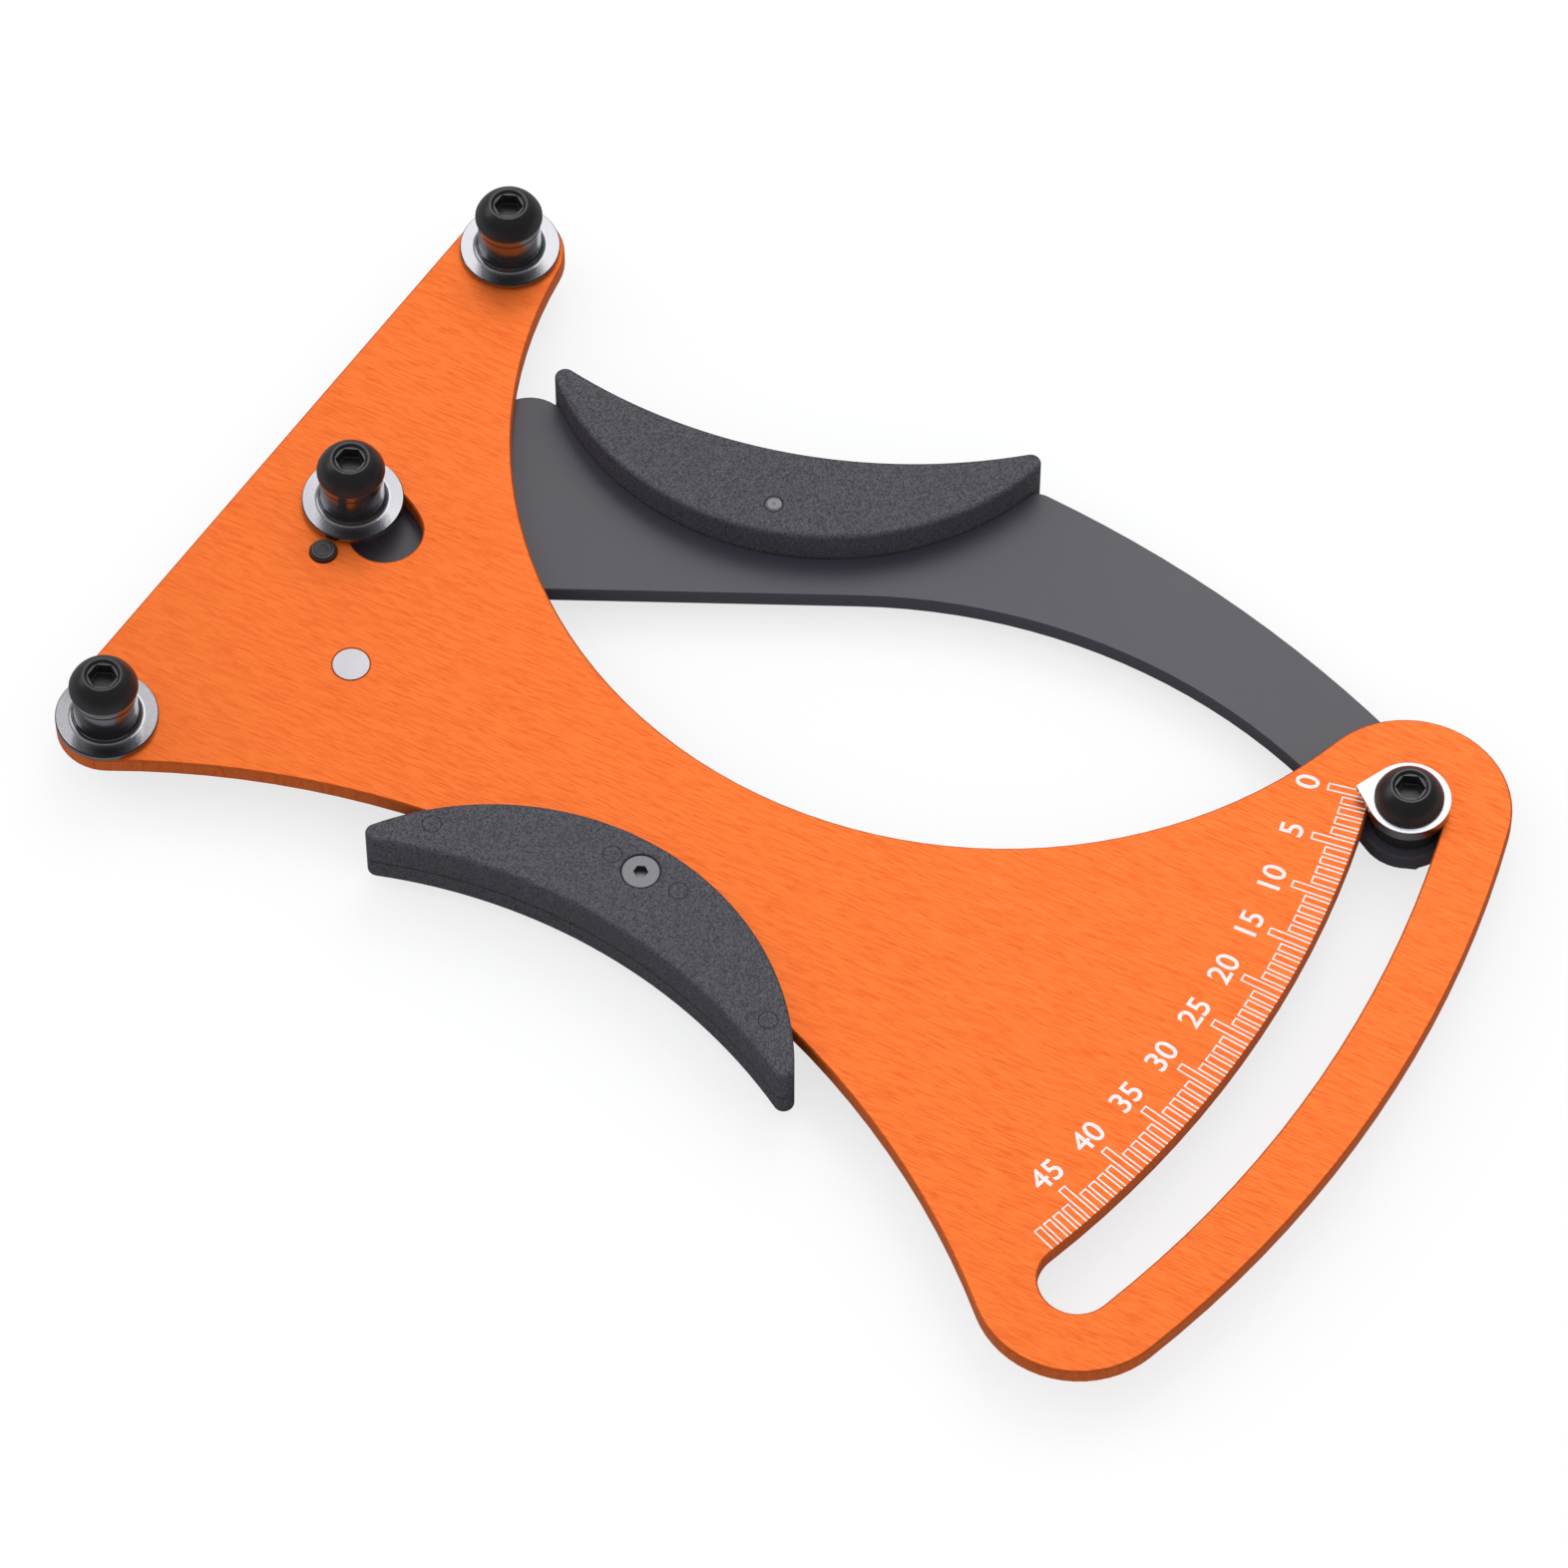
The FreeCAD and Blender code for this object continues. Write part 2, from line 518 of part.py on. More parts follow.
def make_arm():
    """The lever arm is steel sheet, with holes for the pivot, post, pointer, stud and grip."""
    body = new_body("lever_arm")
    blank = new_sketch(body, "arm_blank", height="-sizes.plate_thickness - sizes.arm_gap")
    draw(blank, arm_outline())
    pad(body, blank, "arm_sheet", "sizes.arm_thickness", downward=True)
    holes = new_sketch(body, "arm_holes", height="-sizes.plate_thickness - sizes.arm_gap")
    pivot_bore = size("shoulder_radius") + size("fit_clearance")
    ring(holes, ORIGIN, "sizes.shoulder_radius + sizes.fit_clearance", pivot_bore)
    ring(holes, MIDDLE_POST, "sizes.screw_radius + sizes.fit_clearance", BORE)
    ring(holes, POINTER_AXIS, "sizes.screw_radius + sizes.fit_clearance", BORE)
    ring(holes, STUD, "sizes.stud_pin_radius", size("stud_pin_radius"))
    boss_hole = size("grip_boss_radius") + size("fit_clearance")
    ring(holes, HIGH_GRIP.multVec(GRIP_SCREW), "sizes.grip_boss_radius + sizes.fit_clearance", boss_hole)
    pocket(body, holes, "arm_hole_cuts")
    break_edges(body, (ARM_FRONT, ARM_BACK), "Chamfer", "sizes.arm_edge")
    place(body)


def make_button_screw(label, axis, seat, tip):
    """A button-head socket screw: its head sits on seat and its shank ends at tip."""
    body = new_body(label)
    shank, chamfer = size("screw_radius"), size("screw_tip_chamfer")
    head, land, flat = size("head_radius"), size("head_land"), size("head_flat_radius")
    height, lip = size("head_height"), size("socket_lip_radius")
    corner_radius = size("socket_flats") / math.sqrt(3)
    top = seat + height
    cone_foot = top - (lip - corner_radius)
    dome_centre = (flat ** 2 + height ** 2 - head ** 2 - land ** 2) / (2 * (height - land))
    points = [Vector(0, tip, 0), Vector(shank - chamfer, tip, 0), Vector(shank, tip + chamfer, 0)]
    points += [Vector(shank, seat, 0), Vector(head, seat, 0), Vector(head, seat + land, 0)]
    crown = [Vector(flat, top, 0), Vector(lip, top, 0)]
    crown += [Vector(corner_radius, cone_foot, 0), Vector(0, cone_foot, 0)]
    section = new_sketch(body, label + "_section", "XZ_Plane")
    outline = [straight(points[step], points[step + 1]) for step in range(len(points) - 1)]
    outline.append(bend(Vector(0, seat + dome_centre, 0), points[-1], crown[0]))
    outline += [straight(crown[step], crown[step + 1]) for step in range(len(crown) - 1)]
    outline.append(straight(crown[-1], points[0]))
    draw(section, outline)
    revolve(body, section)
    socket = new_sketch(body, label + "_socket")
    socket.AttachmentOffset = Placement(Vector(0, 0, cone_foot), Rotation())
    hexagon(socket, ORIGIN, size("socket_flats"))
    pocket(body, socket, "socket", "sizes.socket_depth")
    place(body, axis.x, axis.y)


def make_nut(label, axis, top, turn):
    """A thin hexagon nut with chamfered corners, one flat facing the direction turn."""
    body = new_body(label)
    corner = size("nut_flats") / math.sqrt(3)
    flat = size("nut_flats") / 2
    ease = (corner - flat) * math.tan(math.radians(size("nut_chamfer_angle")))
    foot = top - size("nut_height")
    inside = size("screw_radius") + size("fit_clearance")
    ring_points = [(inside, foot), (flat, foot), (corner, foot + ease)]
    ring_points += [(corner, top - ease), (flat, top), (inside, top)]
    section = new_sketch(body, label + "_section", "XZ_Plane")
    draw(section, profile(ring_points))
    revolve(body, section)
    flats = new_sketch(body, label + "_flats")
    ring(flats, ORIGIN, "sizes.nut_flats", size("nut_flats"))
    hexagon(flats, ORIGIN, size("nut_flats"), turn)
    pocket(body, flats, "hexagon")
    place(body, axis.x, axis.y)


def make_sleeve(label, axis, seat):
    """A turned steel sleeve that the spoke bears on: a flange, a hollow, a barrel and a lip."""
    body = new_body(label)
    flange, foot, barrel = size("flange_radius"), size("barrel_foot_radius"), size("barrel_radius")
    fillet, groove = size("barrel_fillet"), size("lip_groove")
    rise = seat + size("flange_height")
    top = size("head_seat")
    lip = top - size("lip_height")
    ease = size("sleeve_edge")
    points = [(BORE, seat), (flange - ease, seat), (flange, seat + ease)]
    points += [(flange, rise - ease), (flange - ease, rise), (foot + fillet, rise)]
    lower = [Vector(radius, height, 0) for radius, height in points]
    upper = [Vector(foot, rise + fillet, 0), Vector(barrel, rise + size("barrel_taper"), 0)]
    upper += [Vector(barrel, lip - groove, 0), Vector(barrel - groove, lip, 0)]
    upper += [Vector(barrel, lip + groove, 0), Vector(barrel, top, 0), Vector(BORE, top, 0)]
    section = new_sketch(body, label + "_section", "XZ_Plane")
    outline = [straight(lower[step], lower[step + 1]) for step in range(len(lower) - 1)]
    middle = Vector(foot + fillet, rise + fillet, 0)
    outline.append(bend(middle, lower[-1], upper[0], clockwise=True, cell="sizes.barrel_fillet"))
    outline += [straight(upper[step], upper[step + 1]) for step in range(len(upper) - 1)]
    outline.append(straight(upper[-1], lower[0]))
    draw(section, outline)
    revolve(body, section)
    place(body, axis.x, axis.y)


def make_ring(label, axis, low, high, outer, inner):
    """A plain turned ring between two heights, such as a washer, collar or spacer."""
    body = new_body(label)
    section = new_sketch(body, label + "_section", "XZ_Plane")
    draw(section, profile([(inner, low), (outer, low), (outer, high), (inner, high)]))
    revolve(body, section)
    place(body, axis.x, axis.y)


def make_posts():
    """Two posts on the plate and one on the arm, each a sleeve held by a screw and a nut."""
    past, nut = size("thread_past_nut"), size("nut_height")
    head_seat = size("head_seat")
    for name, axis in (("upper", UPPER_POST), ("lower", LOWER_POST)):
        make_sleeve("post_sleeve_" + name, axis, 0.0)
        make_button_screw("post_screw_" + name, axis, head_seat, PLATE_BACK - nut - past)
        make_nut("post_nut_" + name, axis, PLATE_BACK, 90.0)
    hang = size("hang_clearance")
    make_sleeve("post_sleeve_middle", MIDDLE_POST, hang)
    make_ring("middle_post_collar", MIDDLE_POST, ARM_FRONT, hang, size("collar_radius"), BORE)
    make_button_screw("post_screw_middle", MIDDLE_POST, head_seat, ARM_BACK - nut - past)
    make_nut("post_nut_middle", MIDDLE_POST, ARM_BACK, size("middle_post_angle"))


def make_pivot():
    """A shoulder screw from the back: its shoulder is the bearing, its thread ends in the plate."""
    body = new_body("pivot_screw")
    shoulder, thread = size("shoulder_radius"), size("pivot_thread_radius")
    head = size("pivot_head_radius")
    washer_back = ARM_BACK - size("rear_washer_height")
    head_back = washer_back - size("pivot_head_height")
    past, ease = size("pivot_past_plate"), size("pivot_edge")
    points = [(0, head_back), (head - ease, head_back), (head, head_back + ease), (head, washer_back)]
    points += [(shoulder, washer_back), (shoulder, PLATE_BACK), (thread, PLATE_BACK)]
    points += [(thread, past - ease), (thread - ease, past), (0, past)]
    section = new_sketch(body, "pivot_section", "XZ_Plane")
    draw(section, profile(points))
    revolve(body, section)
    socket = new_sketch(body, "pivot_socket")
    socket.AttachmentOffset = Placement(Vector(0, 0, head_back), Rotation())
    hexagon(socket, ORIGIN, size("pivot_socket_flats"))
    pocket(body, socket, "socket", "sizes.pivot_socket_depth", upward=True)
    place(body)
    bore = shoulder + size("fit_clearance")
    make_ring("pivot_washer_front", ORIGIN, ARM_FRONT, PLATE_BACK, size("front_washer_radius"), bore)
    make_ring("pivot_washer_rear", ORIGIN, washer_back, ARM_BACK, size("rear_washer_radius"), bore)


def neck_points(shoulder):
    """The rear end of the rivet and the stud: a shoulder, a groove for the hook and a cap."""
    hook, neck = size("hook_height"), size("neck_radius")
    half = size("neck_height") / 2
    cap_foot = hook - half - size("stud_cap_height")
    cap = [(0, cap_foot), (shoulder, cap_foot), (shoulder, hook - half)]
    return cap + [(neck, hook - half), (neck, hook + half)]


def make_spring_posts():
    """The spring's two anchors: a rivet set flush in the plate and a stud pressed into the arm."""
    rivet = size("rivet_radius")
    top = size("hook_height") + size("neck_height") / 2
    body = new_body("spring_anchor_rivet")
    section = new_sketch(body, "rivet_section", "XZ_Plane")
    draw(section, profile(neck_points(rivet) + [(rivet, top), (rivet, 0), (0, 0)]))
    revolve(body, section)
    place(body, RIVET.x, RIVET.y)
    pin, shoulder = size("stud_pin_radius"), size("stud_radius")
    body = new_body("arm_spring_stud")
    section = new_sketch(body, "stud_section", "XZ_Plane")
    rise = [(shoulder, top), (shoulder, ARM_BACK), (pin, ARM_BACK), (pin, ARM_FRONT), (0, ARM_FRONT)]
    draw(section, profile(neck_points(shoulder) + rise))
    revolve(body, section)
    place(body, STUD.x, STUD.y)


def arc_edge(start, tangent, end):
    """An arc that leaves start along a direction and arrives at end."""
    chord = end - start
    inward = chord - tangent * chord.dot(tangent)
    inward.normalize()
    radius = chord.dot(chord) / (2 * chord.dot(inward))
    centre = start + inward * radius
    middle = toward(centre, (start + end) * 0.5, radius)
    return Part.Arc(start, middle, end).toShape()


def biarc(start, start_way, end, end_way):
    """Two arcs that leave start one way and reach end another, joined smoothly."""
    chord = end - start
    both = start_way + end_way
    bend_share = 2 * (1 - start_way.dot(end_way))
    along = chord.dot(both)
    reach = (math.sqrt(along ** 2 + bend_share * chord.dot(chord)) - along) / bend_share
    middle = (start + end + (start_way - end_way) * reach) * 0.5
    way = (end - end_way * reach - start - start_way * reach).normalize()
    return [arc_edge(start, start_way, middle), arc_edge(middle, way, end)]


def make_spring():
    """The return spring: close coils with a hook at each end, drawn between the stud and the rivet."""
    radius, turn_radius = size("wire_diameter") / 2, size("coil_radius")
    corner = size("hook_bend")
    span = (RIVET - STUD).Length
    start, finish = size("long_hook"), span - size("short_hook")
    turns = size("coil_turns")
    pitch = (finish - start) / turns
    quarters = round(turns * 4)

    def on_coil(step):
        angle = math.radians(90 * step)
        across, upward = turn_radius * math.cos(angle), turn_radius * math.sin(angle)
        way = Vector(pitch / (2 * math.pi), -upward, across)
        return Vector(start + pitch * step / 4, across, upward), way.normalize()

    tip = size("wire_diameter")
    first, first_way = on_coil(0)
    last, last_way = on_coil(quarters)
    side = 1 if last.y > 0 else -1
    low = -corner
    run_start = Vector(0, turn_radius, low)
    run_end = Vector(start - corner, turn_radius, low)
    out_start = Vector(finish + corner, side * turn_radius, low)
    out_end = Vector(span, side * turn_radius, low)
    far_side = Vector(0, -turn_radius, low)
    back = Vector(span, -side * turn_radius, low)
    along = Vector(1, 0, 0)
    edges = [Part.makeLine(far_side + along * tip, far_side)]
    edges.append(Part.Arc(far_side, Vector(-turn_radius, 0, low), run_start).toShape())
    edges.append(Part.makeLine(run_start, run_end))
    edges += biarc(run_end, along, first, first_way)
    for step in range(quarters):
        here, way = on_coil(step)
        following, next_way = on_coil(step + 1)
        edges += biarc(here, way, following, next_way)
    edges += biarc(last, last_way, out_start, along)
    edges.append(Part.makeLine(out_start, out_end))
    edges.append(Part.Arc(out_end, Vector(span + turn_radius, 0, low), back).toShape())
    edges.append(Part.makeLine(back, back - along * tip))
    path = Part.Wire(edges)
    section = Part.Wire([Part.makeCircle(radius, far_side + along * tip, along)])
    spring = doc.addObject("Part::Feature", "return_spring")
    spring.Label = "return_spring"
    spring.Shape = path.makePipeShell([section], True, False)
    direction = RIVET - STUD
    turn = math.degrees(math.atan2(direction.y, direction.x))
    place(spring, STUD.x, STUD.y, size("hook_height") + corner, Rotation(UP, turn))
    subparts.append(spring)
    print("spring: %.1f turns, pitch %.2f, least gap %.2f" % (turns, pitch, coil_gap(path, radius)))
    drawn_volume = math.pi * radius ** 2 * path.Length
    print("spring: volume %.1f, wire area times length %.1f" % (spring.Shape.Volume, drawn_volume))


def coil_gap(path, radius):
    """The least gap of the wire to itself, between points that are four diameters apart along it."""
    points_per_diameter = 4
    points = path.discretize(Distance=2 * radius / points_per_diameter)
    skip = 4 * points_per_diameter
    least = math.inf
    for first in range(len(points)):
        for second in range(first + skip, len(points)):
            least = min(least, (points[first] - points[second]).Length)
    return least - 2 * radius


def make_pointer():
    """The pointer is a drop-shaped steel plate on a washer and a spacer that runs in the scale slot."""
    rise = size("spacer_rise")
    washer_top = rise + size("pointer_washer_height")
    seat = washer_top + size("pointer_height")
    spacer = size("slot_half_width") - size("spacer_gap")
    outer = size("pointer_radius")
    make_ring("slot_spacer", POINTER_AXIS, ARM_FRONT, rise, spacer, BORE)
    make_ring("pointer_washer", POINTER_AXIS, rise, washer_top, outer, BORE)
    body = new_body("pointer")
    drop = new_sketch(body, "pointer_outline", height="sizes.spacer_rise + sizes.pointer_washer_height")
    reach = size("pointer_reach")
    tip_round = size("pointer_tip_round")
    tip_centre = Vector(-reach + tip_round, 0, 0)
    lean = math.acos((outer - tip_round) / (reach - tip_round))
    upper = Vector(-math.cos(lean), math.sin(lean), 0)
    lower = Vector(-math.cos(lean), -math.sin(lean), 0)
    tip_upper, tip_lower = tip_centre + upper * tip_round, tip_centre + lower * tip_round
    draw(drop, [
        bend(ORIGIN, lower * outer, upper * outer, cell="sizes.pointer_radius"),
        straight(upper * outer, tip_upper),
        bend(tip_centre, tip_upper, tip_lower, cell="sizes.pointer_tip_round"),
        straight(tip_lower, lower * outer),
    ])
    ring(drop, ORIGIN, "sizes.screw_radius + sizes.fit_clearance", BORE)
    pad(body, drop, "pointer_sheet", "sizes.pointer_height")
    place(body, POINTER_AXIS.x, POINTER_AXIS.y, 0.0, Rotation(UP, size("slot_start")))
    tip = ARM_BACK - size("nut_height") - size("thread_past_nut")
    make_button_screw("pointer_screw", POINTER_AXIS, seat, tip)
    make_nut("pointer_nut", POINTER_AXIS, ARM_BACK, size("slot_start") + 90)


def crescent():
    """A grip's outline about its own axis, with the convex wall's outermost point at the origin."""
    outer, inner, tip = size("grip_outer_radius"), size("grip_inner_radius"), size("grip_tip_round")
    outer_centre = Vector(0, -outer, 0)
    inner_centre = Vector(0, -size("grip_width") - inner, 0)
    right = circles_meet(outer_centre, outer - tip, inner_centre, inner + tip, Vector(outer, -outer, 0))
    left = Vector(-right.x, right.y, 0)
    right_out = right + (right - outer_centre).normalize() * tip
    right_in = toward(right, inner_centre, tip)
    left_out = Vector(-right_out.x, right_out.y, 0)
    left_in = Vector(-right_in.x, right_in.y, 0)
    return [
        bend(outer_centre, right_out, left_out, cell="sizes.grip_outer_radius"),
        bend(left, left_out, left_in, cell="sizes.grip_tip_round"),
        bend(inner_centre, left_in, right_in, clockwise=True, cell="sizes.grip_inner_radius"),
        bend(right, right_in, right_out, cell="sizes.grip_tip_round"),
    ]


def beyond_arc(centre, radius):
    """The area above an arc, as wide as a grip, for the pocket that takes a sheet's edge."""
    reach = size("grip_outer_radius")
    left = Vector(centre.x - reach, centre.y + math.sqrt(radius ** 2 - reach ** 2), 0)
    right = Vector(centre.x + reach, left.y, 0)
    top_right, top_left = Vector(right.x, reach, 0), Vector(left.x, reach, 0)
    return [
        bend(centre, left, right, clockwise=True),
        straight(right, top_right),
        straight(top_right, top_left),
        straight(top_left, left),
    ]


def grip_blank(label, seat, low, high, rounded):
    """One moulded half of a grip between two heights, with the edges rounded at its outer face."""
    body = new_body(label)
    sketch = new_sketch(body, label + "_outline")
    sketch.AttachmentOffset = Placement(Vector(0, 0, low), Rotation())
    draw(sketch, crescent())
    feature = body.newObject("PartDesign::Pad", "moulding")
    feature.Profile = sketch
    feature.Length = high - low
    doc.recompute()
    break_edges(body, (rounded,), "Fillet", "sizes.grip_edge")
    place(body, seat.Base.x, seat.Base.y, 0.0, seat.Rotation)
    return body


def cut_hole(body, name, height, radius, expression, depth, upward):
    """A round hole on the grip's screw axis, from a height to a depth."""
    sketch = new_sketch(body, name)
    sketch.AttachmentOffset = Placement(Vector(0, 0, height), Rotation())
    ring(sketch, GRIP_SCREW, expression, radius)
    pocket(body, sketch, name + "_cut", depth, upward)


def countersink(body, name, face, inward):
    """The conical seat of a grip screw's head; inward is -1 where the face looks up and 1 where down."""
    head, shank = size("small_head_radius"), size("small_screw_radius")
    rim = size("small_head_rim") + size("small_head_sink")
    clear = size("fit_clearance")
    foot = face + inward * (rim + head - shank)
    corners = [(0, face), (head + clear, face), (head + clear, face + inward * rim)]
    corners += [(shank + clear, foot), (0, foot)]
    sketch = new_sketch(body, name, "XZ_Plane")
    sketch.AttachmentOffset = Placement(Vector(0, 0, size("grip_screw_inset")), Rotation())
    draw(sketch, profile(corners))
    before = body.Shape.Volume
    groove = body.newObject("PartDesign::Groove", name + "_cut")
    groove.Profile = sketch
    groove.ReferenceAxis = (sketch, ["V_Axis"])
    groove.Angle = 360
    doc.recompute()
    if groove.Shape.Volume >= before:
        raise RuntimeError("%s cuts nothing" % name)


def make_grip_screw(label, seat, face, tip, flipped):
    """A countersunk socket screw, drawn head up and turned over where it enters from the back."""
    body = new_body(label)
    head, shank, rim = size("small_head_radius"), size("small_screw_radius"), size("small_head_rim")
    length, ease = abs(face - tip), size("small_tip_chamfer")
    points = [(0, -length), (shank - ease, -length), (shank, ease - length)]
    points += [(shank, shank - head - rim), (head, -rim), (head, 0), (0, 0)]
    section = new_sketch(body, label + "_section", "XZ_Plane")
    draw(section, profile(points))
    revolve(body, section)
    socket = new_sketch(body, label + "_socket")
    hexagon(socket, ORIGIN, size("small_socket_flats"))
    pocket(body, socket, "socket", "sizes.small_socket_depth")
    axis = seat.multVec(GRIP_SCREW)
    turn = Rotation(Vector(1, 0, 0), 180) if flipped else Rotation()
    place(body, axis.x, axis.y, face, turn)


def make_lower_grip():
    """The fixed grip: two moulded halves closed over the plate's lower edge, held by one screw."""
    top, back = size("low_grip_top"), -size("grip_back")
    sink, gap = size("small_head_sink"), size("seat_clearance")
    front = grip_blank("lower_grip_front", LOW_GRIP, PLATE_BACK, top, top)
    belly = LOW_GRIP.inverse().multVec(BELLY)
    seat = new_sketch(front, "plate_seat")
    seat.AttachmentOffset = Placement(Vector(0, 0, PLATE_BACK), Rotation())
    draw(seat, beyond_arc(belly, size("belly_radius") - gap))
    pocket(front, seat, "plate_seat_cut", "sizes.plate_thickness", upward=True)
    bore = "sizes.small_screw_radius + sizes.fit_clearance"
    cut_hole(front, "screw_hole", top, SMALL_BORE, bore, "sizes.low_grip_top", False)
    countersink(front, "head_seat_low", top, -1)
    rear = grip_blank("lower_grip_rear", LOW_GRIP, back, PLATE_BACK, back)
    insert, tall = size("insert_radius"), size("insert_height")
    depth = "sizes.insert_height + sizes.insert_lead"
    cut_hole(rear, "insert_hole", PLATE_BACK, insert, "sizes.insert_radius", depth, False)
    axis = LOW_GRIP.multVec(GRIP_SCREW)
    make_ring("lower_grip_insert", axis, PLATE_BACK - tall, PLATE_BACK, insert, SMALL_BORE)
    tip = PLATE_BACK - tall - size("insert_lead") / 2
    make_grip_screw("lower_grip_screw", LOW_GRIP, top - sink, tip, False)


def make_upper_grip():
    """The moving grip: its front half sits on the arm and its rear half wraps the arm's edge."""
    top, back = size("high_grip_top"), -size("grip_back")
    sink, gap = size("small_head_sink"), size("seat_clearance")
    insert, tall = size("insert_radius"), size("insert_height")
    front = grip_blank("upper_grip_front", HIGH_GRIP, ARM_FRONT, top, top)
    depth = "sizes.insert_height + sizes.insert_lead"
    cut_hole(front, "insert_hole", ARM_FRONT, insert, "sizes.insert_radius", depth, True)
    rear = grip_blank("upper_grip_rear", HIGH_GRIP, back, ARM_FRONT, back)
    seat = new_sketch(rear, "arm_seat")
    seat.AttachmentOffset = Placement(Vector(0, 0, ARM_FRONT), Rotation())
    hollow = Vector(0, -size("grip_width") - size("grip_inner_radius"), 0)
    draw(seat, beyond_arc(hollow, size("grip_inner_radius") + size("grip_lap") - gap))
    boss = size("grip_boss_radius")
    ring(seat, GRIP_SCREW, "sizes.grip_boss_radius", boss)
    pocket(rear, seat, "arm_seat_cut", "sizes.arm_thickness")
    bore = "sizes.small_screw_radius + sizes.fit_clearance"
    through = "sizes.grip_back - sizes.plate_thickness - sizes.arm_gap"
    cut_hole(rear, "screw_hole", ARM_FRONT, SMALL_BORE, bore, through, False)
    countersink(rear, "head_seat_high", back, 1)
    axis = HIGH_GRIP.multVec(GRIP_SCREW)
    make_ring("upper_grip_insert", axis, ARM_FRONT, ARM_FRONT + tall, insert, SMALL_BORE)
    tip = ARM_FRONT + tall + size("insert_lead") / 2
    make_grip_screw("upper_grip_screw", HIGH_GRIP, back + sink, tip, True)


def check_and_export():
    """Stops at any failed object or bad solid, then writes one file for each sub-part."""
    doc.recompute()
    for item in doc.Objects:
        if "Invalid" in item.State or "Error" in item.State:
            raise RuntimeError("%s failed: %s" % (item.Name, item.State))
    for item in subparts:
        if item.Shape.isNull() or not item.Shape.isValid() or not item.Shape.Solids:
            raise RuntimeError("%s has no valid solid" % item.Label)
    os.makedirs("parts", exist_ok=True)
    for item in subparts:
        item.Shape.exportStep("parts/%s.step" % item.Label)
        print("%-24s %d solid, %9.2f mm3" % (item.Label, len(item.Shape.Solids), item.Shape.Volume))


make_plate()
make_arm()
make_pivot()
make_posts()
make_spring_posts()
make_spring()
make_pointer()
make_lower_grip()
make_upper_grip()
check_and_export()
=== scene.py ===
import json
import math

import bmesh
import bpy
from mathutils import Matrix, Quaternion, Vector


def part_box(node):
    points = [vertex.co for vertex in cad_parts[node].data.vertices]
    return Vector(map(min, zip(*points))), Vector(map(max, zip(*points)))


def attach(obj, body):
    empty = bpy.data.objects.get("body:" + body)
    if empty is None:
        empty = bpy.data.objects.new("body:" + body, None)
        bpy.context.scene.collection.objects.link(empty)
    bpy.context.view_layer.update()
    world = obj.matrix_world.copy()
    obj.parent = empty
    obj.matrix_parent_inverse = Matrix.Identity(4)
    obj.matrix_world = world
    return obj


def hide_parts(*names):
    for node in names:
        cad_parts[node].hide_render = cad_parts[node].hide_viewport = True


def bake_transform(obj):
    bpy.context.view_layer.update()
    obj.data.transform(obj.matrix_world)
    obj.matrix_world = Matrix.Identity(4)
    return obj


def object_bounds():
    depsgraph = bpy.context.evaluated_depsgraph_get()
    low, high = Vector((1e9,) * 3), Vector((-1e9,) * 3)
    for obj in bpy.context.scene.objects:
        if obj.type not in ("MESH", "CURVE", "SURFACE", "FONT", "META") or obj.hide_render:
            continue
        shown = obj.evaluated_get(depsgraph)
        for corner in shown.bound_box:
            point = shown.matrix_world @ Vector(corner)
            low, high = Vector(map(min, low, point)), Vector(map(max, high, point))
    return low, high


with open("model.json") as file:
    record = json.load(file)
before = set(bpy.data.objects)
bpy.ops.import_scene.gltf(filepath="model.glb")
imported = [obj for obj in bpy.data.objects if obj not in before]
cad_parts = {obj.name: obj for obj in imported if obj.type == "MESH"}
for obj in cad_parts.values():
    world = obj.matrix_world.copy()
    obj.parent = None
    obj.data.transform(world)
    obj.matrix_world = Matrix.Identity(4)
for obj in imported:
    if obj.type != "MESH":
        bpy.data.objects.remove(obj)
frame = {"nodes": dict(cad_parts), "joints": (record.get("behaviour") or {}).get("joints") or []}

cad_low, cad_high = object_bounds()

# Camera
# A long lens from above and to the lower right of the tool, square to nothing, so that the printed
# face, the grooved posts and the walls of both grips show at once.
mm = 0.001
aim = Vector((85.45, -5.63, -4.7)) * mm
stand = Vector((485.3, -596.9, 1097.3)) * mm
camera_data = bpy.data.cameras.new("camera")
camera_data.sensor_width = 36.0
camera_data.lens = 200.6
camera_data.clip_start = 0.05
camera_data.clip_end = 20.0
camera = bpy.data.objects.new("camera", camera_data)
camera.location = stand
camera.rotation_mode = "QUATERNION"
camera.rotation_quaternion = (aim - stand).to_track_quat("-Z", "Y")
bpy.context.scene.collection.objects.link(camera)
bpy.context.scene.camera = camera

# Studio
# A white floor that is clear from below, a large soft lamp where the tool's flat faces mirror it, a
# weaker one from the left, and a pale room that mirrors dark on the camera's side.
bpy.context.scene.view_settings.view_transform = "Standard"


def new_object(name, mesh):
    """A mesh as an object of the scene."""
    made = bpy.data.objects.new(name, mesh)
    bpy.context.scene.collection.objects.link(made)
    return made


def wire(tree, source, target):
    """Joins an output socket to an input socket."""
    tree.links.new(source, target)


def node(tree, kind, **settings):
    """A node of a kind, with its properties set by name and its inputs by 'in_' and their place."""
    made = tree.nodes.new(kind)
    for name, value in settings.items():
        if name.startswith("in_"):
            made.inputs[int(name[3:])].default_value = value
        else:
            setattr(made, name, value)
    return made


floor_half = 3.0
floor_mesh = bpy.data.meshes.new("floor")
corner_signs = ((-1, -1), (1, -1), (1, 1), (-1, 1))
floor_corners = [(x * floor_half, y * floor_half, cad_low.z) for x, y in corner_signs]
floor_mesh.from_pydata(floor_corners, [], [(0, 1, 2, 3)])
floor = new_object("floor", floor_mesh)

